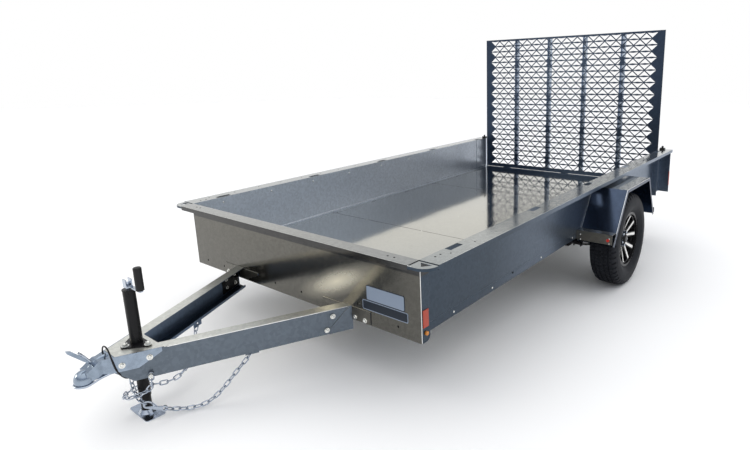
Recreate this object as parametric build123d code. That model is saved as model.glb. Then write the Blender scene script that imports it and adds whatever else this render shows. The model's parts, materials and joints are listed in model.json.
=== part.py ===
from build123d import *
import math
import os

# Utility trailer: folded galvanised sheet body on one axle, with an A-frame tongue,
# a screw jack, a ball coupler and a rear ramp gate of punched sheet.
# Millimetres. The bed is drawn level first: x = 0 is the centre plane (+x the trailer's
# left), y = 0 is the front rail's leading edge (+y to the rear), z = 0 is the floor
# straight below the axle. park() then tips it nose-down onto its jack.

# ---- driving dimensions: bed ----
sheet = 3.0                  # wall and rail sheet
inside_width = 1905.0        # between the side walls
inside_length = 3657.0       # front wall to the bed's rear end
deck_height = 458.0          # top of the deck
side_height = 336.0          # rail top above the deck
side_rail_width = 112.0      # from the wall's inner face
front_rail_width = 83.0
lip_depth = 26.0             # turned-down edge of every rail
lip_return = 10.0            # lip's last fold, inwards
hem_width = 55.0             # fold under each side wall
hem_depth = 29.0             # from the deck's underside
band_height = 44.0           # set-back band along the side's lower edge
band_step = 2.5
front_skirt = 69.0           # front wall below the deck's underside
front_hem = 40.0
wrap_length = 62.0           # front wall's return round each corner
wrap_corner = 30.0
deck_seams = (1280.0, 2640.0)
slot_length = 100.0          # stake slots in the side rails
slot_width = 36.0
slot_inset = 23.5            # slot centre from the wall's inner face
slot_places = (317.0, 1135.0, 1932.0, 2700.0, 3536.0)
corner_arm_front = 92.0
corner_arm_side = 102.0
corner_radius = 70.0
corner_lip = 14.0
crossmember_depth = 70.0
crossmember_flange = 40.0
crossmember_places = (340.0, 700.0, 1280.0, 1750.0, 2210.0, 2640.0, 3060.0, 3420.0)
front_beam_width = 45.0
sill_depth = 70.0
sill_width = 40.0

# ---- rear posts and lamps ----
post_length = 221.0
post_rear_flange = 94.0
post_front_flange = 45.0
post_bottom = 388.0
post_clear = 40.0            # front flange stops this far under the rail
lamp_width = 62.0
lamp_height = 140.0
lamp_thick = 14.0
lamp_bottom = 402.0
liner_length = 200.0

# ---- tongue ----
tongue_spread = 1007.0       # outside to outside at the front wall
tongue_apex = 980.0          # where the outer faces would meet, ahead of the bed
tongue_top = 460.0
tongue_depth = 127.0
tongue_flange = 60.0
tongue_sheet = 4.0
tongue_lip = 14.0
tongue_front = 930.0         # members end here, ahead of the bed
nose_cut = 50.0              # lower front corner cut off the members
nose_plate_rear = 702.0
nose_plate_front = 875.0
bracket_sheet = 4.0
bracket_wall_leg = 128.0
bracket_web_leg = 112.0
bracket_top = 458.0
bracket_height = 70.0
gusset_length = 190.0

# ---- coupler ----
ball_radius = 25.4
ball_clearance = 0.6
coupler_wall = 4.0
coupler_gap = 0.3            # beside the tongue members
coupler_outer = 40.0
ball_reach = 55.0            # ball centre ahead of the members' ends
ball_height = 398.0
coupler_depth = 72.0
coupler_tail = 712.0

# ---- jack ----
jack_ahead = 759.0
jack_tube_radius = 26.0
jack_tube_wall = 3.0
jack_top = 716.0
jack_tube_bottom = 205.0
jack_fit = 0.05              # radial clearance of the leg in the tube
jack_leg_inside = 315.0      # length of leg inside the tube as parked
foot_length = 170.0
foot_width = 90.0
foot_sheet = 4.0
foot_boss = 16.0
foot_underside = 120.0       # where the foot is wound down to, in the level bed's frame
flange_thick = 6.0
flange_half = 96.0           # the jack's three-cornered flange
flange_back = 34.0
flange_tip = 78.0
flange_round = 16.0
crank_reach = 118.0
crank_bar = 12.0
grip_radius = 17.0
grip_length = 104.0

# ---- axle, springs and wheels ----
axle_place = 2247.0
tyre_radius = 341.0
tyre_width = 203.0
tyre_wall_gap = 41.5         # side wall to the tyre
rim_radius = 190.5
rim_width = 152.0
axle_radius = 30.0
spindle_radius = 15.0
spindle_fit = 0.05
spring_width = 45.0
spring_half = 330.0
spring_leaf = 7.0
spring_eye_height = 365.0
spring_leaves = 3
eye_radius = 19.0
seat_half = 38.0
seat_overhang = 8.0
hanger_wall = 5.0
spoke_pairs = 5
hub_radius = 62.0
leaf_steps = 8
rail_drop = 26.0

# ---- fenders ----
fender_width = 253.5
fender_top = 748.0
fender_front_top = 2071.0
fender_rear_top = 2566.0
fender_front_foot = (1830.0, 405.0)
fender_rear_foot = (2718.0, 436.0)
fender_lip = 20.0
brace_height = 70.0
brace_depth = 66.0

# ---- marker lamps and reflectors ----
marker_radius = 10.0
marker_thick = 8.0
marker_height = 431.0        # on the front corners
marker_inset = 32.0          # on the fender braces, from the fender's edge
marker_rise = 46.0
reflector_width = 40.0
reflector_height = 86.0
reflector_low = 462.0

# ---- safety chains ----
chain_wire = 6.0
chain_width = 24.0           # outside of a link
chain_pitch = 31.5           # near this; fitted to a whole number of links
chain_play = 0.9             # between one link and the next
chain_relief = 2.2           # chamfer on the links' inner edges
chain_bolt_place = 762.0     # ahead of the bed
chain_bolt_height = 350.0
chain_shank_radius = 5.0
chain_head_radius = 11.0
chain_head_thick = 7.0
chain_tab_place = 368.0      # ahead of the bed
chain_tab_inset = 47.0       # from the member's outer face
chain_tab_drop = 16.0        # hole's centre below the member
chain_tab_hole = 8.0
chain_tab_strip = 7.0        # metal below the hole
chain_tab_thick = 4.0
chain_rise = 52.0            # degrees that a chain's last link rises
hook_thick = 7.0
hook_start = 9               # joint where the hook begins
hook_links = 3               # pitches that the hook spans
# (x, y, z) between the bolt and the tab; each chain hangs from the far or the near bolt,
# crosses ahead of the jack and comes up to the near or the far tab
hooked_route = (
    (-104, -767, 290), (-88, -775, 267), (-60, -785, 251), (-26, -795, 243), (8, -803, 236),
    (48, -805, 226), (74, -804, 218), (98, -795, 209), (116, -776, 196), (126, -750, 180),
    (130, -718, 162), (136, -684, 145), (148, -650, 133), (164, -620, 130), (180, -588, 131),
    (194, -552, 141), (204, -514, 163), (212, -476, 192), (218, -438, 224), (226, -402, 256))
looped_route = (
    (105, -767, 290), (90, -778, 268), (66, -798, 254), (50, -820, 245), (19, -839, 234),
    (-19, -842, 226), (-52, -824, 219), (-76, -791, 212), (-83, -754, 207), (-76, -717, 202),
    (-60, -682, 197), (-42, -648, 194), (-28, -612, 196), (-26, -575, 205), (-38, -540, 220),
    (-62, -510, 233), (-92, -484, 241), (-124, -460, 245), (-156, -434, 248), (-188, -409, 254),
    (-216, -388, 266))

# ---- rear gate ----
gate_side_gap = 8.5          # gate to the side wall's inner face
gate_bottom = 474.0
gate_top = 1881.0
gate_place = 3698.0          # front face of the sheet
gate_sheet_thick = 3.0
gate_fold = 37.0             # depth of the folded edge
gate_margin = 56.0           # plain edge beside the openings
gate_rows = 24
gate_columns = 16
gate_bar = 8.0
rib_width = 43.0
rib_depth = 25.0
rib_places = (-567.0, -189.0, 189.0, 567.0)
hinge_places = (-700.0, 0.0, 700.0)
hinge_behind = 17.0          # hinge axis behind the bed's end
hinge_height = 466.0
pin_radius = 6.0
knuckle_radius = 11.0
knuckle_length = 40.0
ear_thick = 8.0
ear_rise = 11.0             # ear below the gate's lower edge
hinge_fit = 0.05

# ---- worked out from the sizes above ----
half_inside = inside_width / 2
wall_face = half_inside + sheet
rail_edge = half_inside + side_rail_width
rail_top = deck_height + side_height
deck_under = deck_height - sheet
front_face = front_rail_width - sheet
bed_end = front_rail_width + inside_length
side_bottom = deck_under - hem_depth
front_bottom = deck_under - front_skirt
tongue_half = tongue_spread / 2
tongue_slope = tongue_half / (tongue_apex + front_face)
tongue_angle = math.atan(tongue_slope)
ball_ahead = tongue_front + ball_reach
wheel_middle = wall_face + tyre_wall_gap + tyre_width / 2
spring_place = half_inside - hem_width / 2 + 1
fender_outside = wall_face + fender_width
gate_width = 2 * (half_inside - gate_side_gap)
hinge_y = bed_end + hinge_behind
floor_reach = math.hypot(axle_place + jack_ahead, tyre_radius - foot_underside)
nose_pitch = math.degrees(
    math.asin(tyre_radius / floor_reach)
    - math.atan2(tyre_radius - foot_underside, axle_place + jack_ahead))


def face_yz(points, x):
    return Face(Wire.make_polygon([Vector(x, y, z) for y, z in points]))


def face_xz(points, y):
    return Face(Wire.make_polygon([Vector(x, y, z) for x, z in points]))


def face_xy(points, z):
    return Face(Wire.make_polygon([Vector(x, y, z) for x, y in points]))


def along_x(points, x0, x1):
    """Prism of a (y, z) outline between two x places."""
    return extrude(face_yz(points, x0), amount=x1 - x0, dir=(1, 0, 0))


def along_y(points, y0, y1):
    """Prism of an (x, z) outline between two y places."""
    return extrude(face_xz(points, y0), amount=y1 - y0, dir=(0, 1, 0))


def along_z(points, z0, z1):
    """Prism of an (x, y) outline between two heights."""
    return extrude(face_xy(points, z0), amount=z1 - z0, dir=(0, 0, 1))


def block(x0, x1, y0, y1, z0, z1):
    return along_z([(x0, y0), (x1, y0), (x1, y1), (x0, y1)], z0, z1)


def folded(path, thick):
    """Outline of a folded sheet: a path and its copy, set off to the path's left."""
    count = len(path)
    normals = []
    for (a, b), (c, d) in zip(path, path[1:]):
        run = math.hypot(c - a, d - b)
        normals.append((-(d - b) / run, (c - a) / run))
    other = []
    for i in range(count):
        before = normals[max(i - 1, 0)]
        after = normals[min(i, count - 2)]
        lean = 1 + before[0] * after[0] + before[1] * after[1]
        other.append((path[i][0] + thick * (before[0] + after[0]) / lean,
                      path[i][1] + thick * (before[1] + after[1]) / lean))
    return path + other[::-1]


def tube_x(radius, x0, x1, y, z):
    turned = Pos((x0 + x1) / 2, y, z) * Rot(0, 90, 0)
    return turned * Cylinder(radius, x1 - x0)


def mirrored(part):
    return mirror(part, about=Plane.YZ)


# ---- bed ----
def side_wall():
    """Left side: hem, set-back band, wall, rail, lip and its return, in one fold."""
    inner = half_inside - hem_width
    band = wall_face - band_step
    lip_face = rail_edge - sheet
    under = rail_top - sheet
    lip_foot = rail_top - lip_depth + sheet
    path = [(inner, deck_under), (inner, side_bottom), (band, side_bottom),
            (band, side_bottom + band_height), (wall_face, side_bottom + band_height + band_step),
            (wall_face, under), (lip_face, under), (lip_face, lip_foot),
            (lip_face - lip_return, lip_foot)]
    wall = along_y(folded(path, sheet), front_rail_width, bed_end)
    middle = half_inside + slot_inset
    for place in slot_places:
        wall -= block(middle - slot_width / 2, middle + slot_width / 2,
                      place - slot_length / 2, place + slot_length / 2,
                      under - 1, rail_top + 1)
    return wall


def front_wall():
    """Front wall with its rail, lip and hem, wrapped round both corners."""
    under = rail_top - sheet
    lip_foot = rail_top - lip_depth + sheet
    path = [(sheet + lip_return, lip_foot), (sheet, lip_foot), (sheet, under),
            (front_face, under), (front_face, front_bottom),
            (front_face + front_hem, front_bottom)]
    wall = along_x(folded(path, sheet), -half_inside, half_inside)
    corner_top = under - sheet
    outer = wall_face + sheet
    tail = front_face + wrap_length
    for side in (-1, 1):
        low, high = sorted((side * half_inside, side * outer))
        wall += block(low, high, front_face, front_rail_width, front_bottom, corner_top)
        wrap = block(wall_face, outer, front_face, tail, front_bottom, corner_top)
        edge = wrap.edges().filter_by(Axis.X).group_by(Axis.Y)[-1].sort_by(Axis.Z)[0]
        wrap = fillet(edge, wrap_corner)
        wall += wrap if side > 0 else mirrored(wrap)
    return wall


def corner_plate():
    """Left corner plate, tucked under both rails, its rounded corner left open to view."""
    top = rail_top - sheet
    low = top - sheet

    def rounded(inset, z0, z1):
        shape = block(half_inside, rail_edge - inset, inset, front_rail_width, z0, z1)
        edge = shape.edges().filter_by(Axis.Z).group_by(Axis.X)[-1].sort_by(Axis.Y)[0]
        return fillet(edge, corner_radius - inset)

    plate = rounded(0, low, top)
    rim = rounded(0, top - corner_lip, low) - rounded(sheet, top - corner_lip - 1, low + 1)
    rim -= block(half_inside - 1, wall_face + sheet, front_face, front_rail_width + 1,
                 top - corner_lip - 1, low)
    plate += rim
    plate += block(half_inside - corner_arm_front, half_inside, sheet, front_face, low, top)
    plate += block(wall_face, rail_edge - sheet, front_rail_width,
                   front_rail_width + corner_arm_side, low, top)
    middle = half_inside + side_rail_width / 2
    window = [(middle - 32, 66), (middle + 30, 66), (middle, 26)]
    plate -= along_z(window, low - 1, top + 1)
    return plate


def deck_sheet(start, end):
    half = half_inside - band_step
    return block(-half, half, start, end, deck_under, deck_height)


def channel_across(place, depth, flange, facing=1):
    """C section across the bed, flanges pointing along y by facing."""
    reach = place + facing * flange
    path = [(reach, deck_under), (place, deck_under), (place, deck_under - depth),
            (reach, deck_under - depth)]
    if facing < 0:
        path = path[::-1]
    half = half_inside - hem_width
    return along_x(folded(path, sheet), -half, half)


def crossmembers():
    members = []
    for place in crossmember_places:
        members.append(channel_across(place - crossmember_flange / 2, crossmember_depth,
                                      crossmember_flange))
    return Compound(members)


def front_beam():
    return channel_across(front_rail_width, front_skirt - sheet, front_beam_width)


def rear_sill():
    return channel_across(bed_end, sill_depth, sill_width, facing=-1)


def rear_post():
    """Left rear post: a channel open to the outside, under the rail's end."""
    back = bed_end
    front = bed_end - post_length
    top = rail_top - sheet
    base = wall_face
    path = [(base + post_rear_flange, back), (base, back), (base, front),
            (base + post_front_flange, front)]
    post = along_z(folded(path, sheet), post_bottom, top)
    return post - block(base + sheet, base + post_front_flange + 1, front - sheet - 1,
                        front + sheet + 1, top - post_clear, top + 1)


def tail_lamp():
    middle = wall_face + post_rear_flange - lamp_width / 2 - 8
    lamp = block(middle - lamp_width / 2, middle + lamp_width / 2, bed_end,
                 bed_end + lamp_thick, lamp_bottom, lamp_bottom + lamp_height)
    edges = lamp.edges().group_by(Axis.Y)[-1]
    return chamfer(edges, lamp_thick / 3)


def post_liner():
    """Stiffening plate inside the side wall, beside the gate."""
    end = gate_place - 12
    low = side_bottom + band_height + band_step + sheet
    return block(half_inside - sheet, half_inside, end - liner_length, end, low, rail_top)


# ---- tongue and nose ----
def tongue_edge(y):
    """Outer face of the left member at a place along the tongue."""
    return (y + tongue_apex) * tongue_slope


def along_member(section, start, end, outer_shift=0.0):
    """Left member's (inset, z) section carried along the tongue's slant."""
    run = Vector(-math.sin(tongue_angle), -math.cos(tongue_angle), 0)
    inward = Vector(-math.cos(tongue_angle), math.sin(tongue_angle), 0)
    foot = Vector(tongue_edge(start), start, 0)
    points = [foot + inward * (a + outer_shift) + Vector(0, 0, z) for a, z in section]
    length = (start - end) / math.cos(tongue_angle)
    return extrude(Face(Wire.make_polygon(points)), amount=length, dir=run)


def tongue_member():
    low = tongue_top - tongue_depth
    path = [(tongue_flange, tongue_top), (0, tongue_top), (0, low), (tongue_flange, low),
            (tongue_flange, low + tongue_lip)]
    spare = 2 * tongue_flange
    member = along_member(folded(path, tongue_sheet), front_face + spare, -tongue_front - spare)
    member &= block(0.2, tongue_spread, -tongue_front, front_face, low, tongue_top)
    cut = [(-tongue_front - 1, low - 1), (-tongue_front + 2.2 * nose_cut, low - 1),
           (-tongue_front - 1, low + 2 * nose_cut)]
    member -= along_x(cut, -1, tongue_spread)
    return member.solids().sort_by(SortBy.VOLUME)[-1]


def tongue_brackets():
    """Left member's brackets to the front wall, its chain bolt and its chain tab."""
    outside = tongue_half + bracket_sheet * 1.2
    face = front_face
    wall_leg = block(outside, outside + bracket_wall_leg, face - bracket_sheet, face,
                     bracket_top - bracket_height, bracket_top)
    low = tongue_top - tongue_depth
    section = [(-bracket_sheet, low), (0, low), (0, bracket_top), (-bracket_sheet, bracket_top)]
    web_leg = along_member(section, face + 30, face - bracket_web_leg)
    web_leg &= block(0, tongue_spread, -tongue_apex, face, low, tongue_top)
    slant = [(face - bracket_web_leg - 1, low + 26), (face - 14, bracket_top + 1),
             (face - bracket_web_leg - 1, bracket_top + 1)]
    web_leg -= along_x(slant, 0, tongue_spread)
    outer = wall_leg + web_leg
    inside = tongue_edge(face) - tongue_flange * 0.4
    top = tongue_top - tongue_sheet - 1
    foot = front_bottom + 4
    gusset = [(inside, top), (inside - gusset_length, top),
              (inside - gusset_length, top - 16), (inside - 0.35 * gusset_length, foot),
              (inside, foot)]
    inner = along_y(gusset[::-1], face - bracket_sheet, face)
    return [outer, inner, chain_bolt(), chain_tab()]


def nose_plate():
    top = tongue_top + tongue_sheet
    wide = tongue_edge(-nose_plate_rear)
    narrow = tongue_edge(-nose_plate_front)
    outline = [(-wide, -nose_plate_rear), (-narrow, -nose_plate_front),
               (narrow, -nose_plate_front), (wide, -nose_plate_rear)]
    plate = along_z(outline, tongue_top, top)
    hole = Pos(0, -jack_ahead, tongue_top) * Cylinder(jack_tube_radius + 0.4, 4 * tongue_sheet)
    return plate - hole


def tongue_wedge(rear, front, grow, z0, z1):
    """Block as wide as the tongue's outer faces, and grow more each side."""
    wide = tongue_edge(rear) + grow
    narrow = tongue_edge(front) + grow
    return along_z([(wide, rear), (-wide, rear), (-narrow, front), (narrow, front)], z0, z1)


def coupler():
    """Pressed ball socket, its neck, and the two flanges that lap the members."""
    top = tongue_top + tongue_sheet
    low = top - coupler_depth
    tail = -coupler_tail
    waist = -tongue_front - 1
    half = coupler_outer - 4
    body = tongue_wedge(tail, waist, coupler_wall + coupler_gap, low, top)
    body += along_z([(half, -ball_ahead), (half, waist - 10), (half - 8, waist + 30),
                     (8 - half, waist + 30), (-half, waist - 10), (-half, -ball_ahead)], low, top)
    slope = [(waist, top + 1), (-ball_ahead + 6, ball_height + 36),
             (-ball_ahead - 60, ball_height + 30), (-ball_ahead - 60, top + 1)]
    body -= along_x(slope, -2 * half, 2 * half)
    body += Pos(0, -ball_ahead, ball_height) * Sphere(coupler_outer)
    body -= tongue_wedge(tail + 1, waist, coupler_gap, low - 1, tongue_top)
    body -= tongue_wedge(tail + 1, -nose_plate_front - 1, coupler_gap, tongue_top - 1, top + 1)
    socket = ball_radius + ball_clearance
    body -= Pos(0, -ball_ahead, ball_height) * Sphere(socket)
    body -= Pos(0, -ball_ahead, ball_height - coupler_outer) * Cylinder(socket, 2 * coupler_outer)
    tails = [(tail + 1, low - 1), (tail - 90, low - 1), (tail + 1, top - 18)]
    body -= along_x(tails, -tongue_half, tongue_half)
    return body


def coupler_latch():
    """Raised locking lever on its pivot block."""
    back = -ball_ahead + 44
    lever = [(back + 4, ball_height + 38), (back + 12, ball_height + 44),
             (back - 74, ball_height + 140), (back - 92, ball_height + 146),
             (back - 90, ball_height + 136), (back - 40, ball_height + 82)]
    return along_x(lever[::-1], -8, 8)


# ---- safety chains ----
def web_outward(side):
    return Vector(side * math.cos(tongue_angle), -math.sin(tongue_angle), 0)


def on_web(side, ahead, out, height):
    """Point beside a tongue member's web, out from its outer face."""
    return Vector(side * tongue_edge(-ahead), -ahead, height) + web_outward(side) * out


def chain_bolt():
    """Shouldered bolt through the left web that a chain hangs from."""
    out = chain_wire + 2 * chain_relief + 3
    foot = on_web(1, chain_bolt_place, 0, chain_bolt_height)
    axis = Plane(foot, z_dir=web_outward(1))
    align = (Align.CENTER, Align.CENTER, Align.MIN)
    bolt = Cylinder(chain_shank_radius, out, align=align)
    head = Pos(0, 0, out) * Cylinder(chain_head_radius, chain_head_thick, align=align)
    return axis.location * (bolt + chamfer(head.edges().group_by(Axis.Z)[-1], 2))


def tab_hole(side):
    low = tongue_top - tongue_depth
    return on_web(side, chain_tab_place, -chain_tab_inset, low - chain_tab_drop)


def chain_tab():
    """Left tab below the member's lower flange, drilled for a link."""
    low = tongue_top - tongue_depth
    foot = low - chain_tab_drop - chain_tab_hole - chain_tab_strip
    half = chain_tab_thick / 2
    section = [(chain_tab_inset - half, foot), (chain_tab_inset + half, foot),
               (chain_tab_inset + half, low), (chain_tab_inset - half, low)]
    reach = chain_tab_hole + 3 * chain_tab_strip
    tab = along_member(section[::-1], reach - chain_tab_place, -reach - chain_tab_place)
    hole = Plane(tab_hole(1), z_dir=web_outward(1)).location * Cylinder(chain_tab_hole, 40)
    return tab - hole


def eased(points):
    """Straight runs joined by tangent arcs as large as the runs allow."""
    radii = []
    for a, b, c in zip(points, points[1:], points[2:]):
        half_turn = math.radians((b - a).get_angle(c - b) / 2)
        radii.append(0.45 * min((b - a).length, (c - b).length) / math.tan(half_turn))
    return FilletPolyline(*points, radius=radii)


def paced(curve, count):
    """Joints at equal straight steps along a curve, from its start to its end."""
    fine = 40 * count
    spots = [curve.position_at(k / fine) for k in range(fine + 1)]

    def walk(step):
        joints = [spots[0]]
        for a, b in zip(spots, spots[1:]):
            near, far = (a - joints[-1]).length, (b - joints[-1]).length
            if far >= step and len(joints) <= count:
                joints.append(a + (b - a) * ((step - near) / (far - near)))
        return joints

    short, long = 0.8 * curve.length / count, curve.length / count
    for _ in range(30):
        step = (short + long) / 2
        if len(walk(step)) > count:
            short = step
        else:
            long = step
    return walk(short)


def chain_link(pitch):
    """Link flat in XY, its run along X, eased along its inner edges."""
    inside = (pitch + chain_play) / 2
    narrow = chain_width / 2 - chain_wire
    far, wide = inside + chain_wire, chain_width / 2
    outline = [(far, narrow), (inside, wide), (-inside, wide), (-far, narrow),
               (-far, -narrow), (-inside, -wide), (inside, -wide), (far, -narrow)]
    link = along_z(outline, -chain_wire / 2, chain_wire / 2)
    link -= block(-inside, inside, -narrow, narrow, -chain_wire, chain_wire)
    flat = link.edges().group_by(Axis.Z)
    rims = [edge for edge in flat[0] + flat[-1]
            if abs(edge.center().X) < inside + 0.1 and abs(edge.center().Y) < narrow + 0.1]
    return chamfer(rims, chain_relief)


def chain_hook(span):
    """Clevis hook in XY: its bowl at X = 0, its eye at X = span, its latch across the mouth."""
    bowl, metal, eye = 11.0, 7.0, 7.0
    centre = bowl - 1.8 * chain_play
    tip = centre + 15
    hook = Pos(centre, 0, 0) * (Cylinder(bowl + metal, hook_thick) - Cylinder(bowl, hook_thick))
    hook &= block(-bowl - metal, centre, -2 * bowl, 2 * bowl, -hook_thick, hook_thick)
    half = hook_thick / 2
    hook += along_z([(centre, -bowl), (centre, -bowl - metal), (tip - 4, -bowl - metal),
                     (tip, -bowl)], -half, half)
    far = span + 0.8 * chain_play - eye
    hook += along_z([(centre, bowl + metal), (centre, bowl), (far - 9, -8), (far, -eye - 5),
                     (far, eye + 5), (far - 14, 12)], -half, half)
    hook += Pos(far, 0, 0) * Cylinder(2 * eye, hook_thick)
    hook += along_z([(tip - 6, -bowl), (tip - 1, -bowl), (tip + 22, 1), (tip + 14, 3)], -2, 2)
    return hook - Pos(far, 0, 0) * Cylinder(eye, 2 * hook_thick)


def safety_chain(start_side, route, hooked):
    """Chain from one member's bolt to the other's tab, each link turned from the last."""
    first = on_web(start_side, chain_bolt_place, chain_wire, chain_bolt_height + chain_shank_radius)
    rise = math.radians(chain_rise)
    level = math.cos(rise)
    lead = Vector(-start_side * level * math.sin(tongue_angle), level * math.cos(tongue_angle),
                  math.sin(rise))
    last = tab_hole(-start_side) - lead * chain_tab_hole
    near = last - lead * (chain_pitch + chain_play)
    hang = first - Vector(0, 0, chain_pitch + chain_shank_radius)
    curve = eased([first, hang] + [Vector(*point) for point in route] + [near, last])
    count = round(curve.length / chain_pitch)
    joints = paced(curve, count)
    pitch = (joints[1] - joints[0]).length
    turns = [(0, web_outward(start_side))]
    if hooked:
        joints = joints[:hook_start + 1] + joints[hook_start + hook_links:]
    runs = [(b - a).normalized() for a, b in zip(joints, joints[1:])]
    if hooked:
        turns.append((hook_start, runs[hook_start].cross(Vector(0, 0, 1)).normalized()))
    turns.append((len(runs) - 1, runs[-1].cross(web_outward(-start_side)).normalized()))
    rolls = []
    normal = turns[0][1]
    carried = []
    for run in runs:
        normal = (normal - run * normal.dot(run)).normalized()
        carried.append(normal)
    for place, wanted in turns:
        turned = carried[place].rotate(Axis((0, 0, 0), runs[place].to_tuple()), 90 * place)
        lean = math.degrees(math.atan2(turned.cross(wanted).dot(runs[place]), turned.dot(wanted)))
        rolls.append((place, (lean + 90) % 180 - 90))
    link = chain_link(pitch)
    pieces = []
    for k, run in enumerate(runs):
        before = max(item for item in rolls if item[0] <= k)
        after = min(item for item in rolls if item[0] >= k)
        share = (k - before[0]) / max(after[0] - before[0], 1)
        roll = before[1] + (after[1] - before[1]) * share + 90 * k
        normal = carried[k].rotate(Axis((0, 0, 0), run.to_tuple()), roll)
        if hooked and k == hook_start:
            frame = Plane(joints[k], x_dir=run, z_dir=normal)
            pieces.append(frame.location * chain_hook((joints[k + 1] - joints[k]).length))
        else:
            frame = Plane((joints[k] + joints[k + 1]) / 2, x_dir=run, z_dir=normal)
            pieces.append(frame.location * link)
    return pieces


# ---- jack ----
def jack_tube():
    bore = jack_tube_radius - jack_tube_wall
    body = Pos(0, 0, (jack_tube_bottom + jack_top) / 2) * Cylinder(
        jack_tube_radius, jack_top - jack_tube_bottom)
    cap = Pos(0, 0, jack_top + 3) * Cylinder(jack_tube_radius + 1.5, 6)
    hollow = Pos(0, 0, (jack_tube_bottom + jack_top) / 2 - 6) * Cylinder(
        bore, jack_top - jack_tube_bottom)
    seat = tongue_top + tongue_sheet
    corners = [(-flange_half, flange_back), (flange_half, flange_back), (0, -flange_tip)]
    flange = Pos(0, 0, 0) * along_z(corners, seat, seat + flange_thick)
    flange = fillet(flange.edges().filter_by(Axis.Z), flange_round)
    tube = Pos(0, -jack_ahead, 0) * (body + cap + flange)
    return tube - Pos(0, -jack_ahead, 0) * hollow


def jack_crank():
    """Forked hub on the screw's end and the bar out to the grip."""
    base = jack_top + 6
    hub = Pos(0, 0, base + 12) * Cylinder(9, 24)
    fork = block(-16, 16, -14, -9, base + 8, base + 46)
    fork += block(-16, 16, 9, 14, base + 8, base + 46)
    fork += block(-16, 16, -14, 14, base + 8, base + 14)
    reach = crank_reach
    bar = along_y([(-12, base + 22), (0, base + 14), (reach + 10, base + 14),
                   (reach + 10, base + 14 + crank_bar / 2), (4, base + 14 + crank_bar / 2),
                   (-8, base + 30)], -8, 8)
    return Pos(0, -jack_ahead, 0) * (hub + fork + bar)


def jack_grip():
    base = jack_top + 6 + 14 + crank_bar / 2
    grip = Pos(crank_reach, -jack_ahead, base + grip_length / 2) * Cylinder(
        grip_radius, grip_length)
    return chamfer(grip.edges().filter_by(GeomType.CIRCLE), 3)


def jack_leg():
    """Inner leg; its lower end is cut parallel to the foot."""
    radius = jack_tube_radius - jack_tube_wall - jack_fit
    top = jack_tube_bottom + jack_leg_inside
    leg = Pos(0, 0, (top + foot_underside) / 2) * Cylinder(radius, top - foot_underside)
    ground = Pos(0, 0, foot_underside) * Rot(-nose_pitch, 0, 0) * (
        Pos(0, 0, foot_sheet - 50) * Box(200, 200, 100))
    return Pos(0, -jack_ahead, 0) * (leg - ground)


def jack_foot():
    """Pressed foot, flat on the floor, with a raised boss round the leg."""
    radius = jack_tube_radius - jack_tube_wall
    plate = Pos(0, 0, foot_sheet / 2) * Box(foot_length, foot_width, foot_sheet)
    plate = fillet(plate.edges().filter_by(Axis.Z), 12)
    boss = Pos(0, 0, foot_sheet + foot_boss / 2) * Cone(foot_width * 0.44, radius + 5, foot_boss)
    boss -= Pos(0, 0, foot_sheet + foot_boss / 2) * Cylinder(radius + 2, foot_boss + 2)
    foot = plate + boss
    return Pos(0, -jack_ahead, foot_underside) * Rot(-nose_pitch, 0, 0) * foot


# ---- axle, springs and wheels ----
def spring_rail():
    """Left rail below the hem, with the two spring hangers."""
    half = spring_width / 2
    low = side_bottom - rail_drop
    front = axle_place - spring_half
    back = axle_place + spring_half
    x0, x1 = spring_place - half - 1, spring_place + half + 1
    rail = block(x0, x1, front - 220, back + 150, low, side_bottom)
    for place in (front, back):
        ear = [(place - 34, low), (place + 34, low), (place + 20, spring_eye_height - 24),
               (place - 20, spring_eye_height - 24)]
        for a, b in ((x0 - hanger_wall + 1, x0), (x1, x1 + hanger_wall - 1)):
            rail += along_x(ear[::-1], min(a, b), max(a, b))
            wide = [(place - 34, low), (place + 34, low), (place + 34, low + rail_drop * 0.7),
                    (place - 34, low + rail_drop * 0.7)]
            rail += along_x(wide, min(a, b), max(a, b))
        rail += tube_x(7, x0 - 1, x1 + 1, place, spring_eye_height)
    return rail


def leaf_spring():
    """Left spring pack: eyed main leaf and shorter leaves below it, sagging to the seat."""
    half = spring_width / 2
    seat = tyre_radius - axle_radius - 6
    rise = spring_eye_height - seat
    straight = seat_half + seat_overhang
    pack = None
    for i in range(spring_leaves):
        reach = spring_half * (1 - 0.28 * i) - (eye_radius * 0.7 if i == 0 else 0)
        upper = []
        for k in range(-leaf_steps, leaf_steps + 1):
            y = reach * k / leaf_steps
            bent = max(abs(y) - straight, 0) / (spring_half - straight)
            upper.append((axle_place + y, seat + rise * bent ** 2 - spring_leaf * i))
        lower = [(y, z - spring_leaf) for y, z in upper]
        leaf = along_x(upper + lower[::-1], spring_place - half, spring_place + half)
        pack = leaf if pack is None else pack + leaf
    for side in (-1, 1):
        place = axle_place + side * spring_half
        eye = tube_x(eye_radius, spring_place - half, spring_place + half, place, spring_eye_height)
        pack += eye
    for side in (-1, 1):
        place = axle_place + side * spring_half
        pack -= tube_x(7.3, spring_place - half - 1, spring_place + half + 1, place,
                       spring_eye_height)
    return pack


def axle():
    reach = wheel_middle - 90
    tube = tube_x(axle_radius, -reach, reach, axle_place, tyre_radius)
    for side in (-1, 1):
        a, b = sorted((side * reach, side * (wheel_middle + 42)))
        tube += tube_x(spindle_radius, a, b, axle_place, tyre_radius)
        seat = block(side * spring_place - spring_width / 2, side * spring_place + spring_width / 2,
                     axle_place - seat_half, axle_place + seat_half,
                     tyre_radius - axle_radius - 6,
                     tyre_radius - axle_radius + 6)
        tube += seat
    return tube


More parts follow.
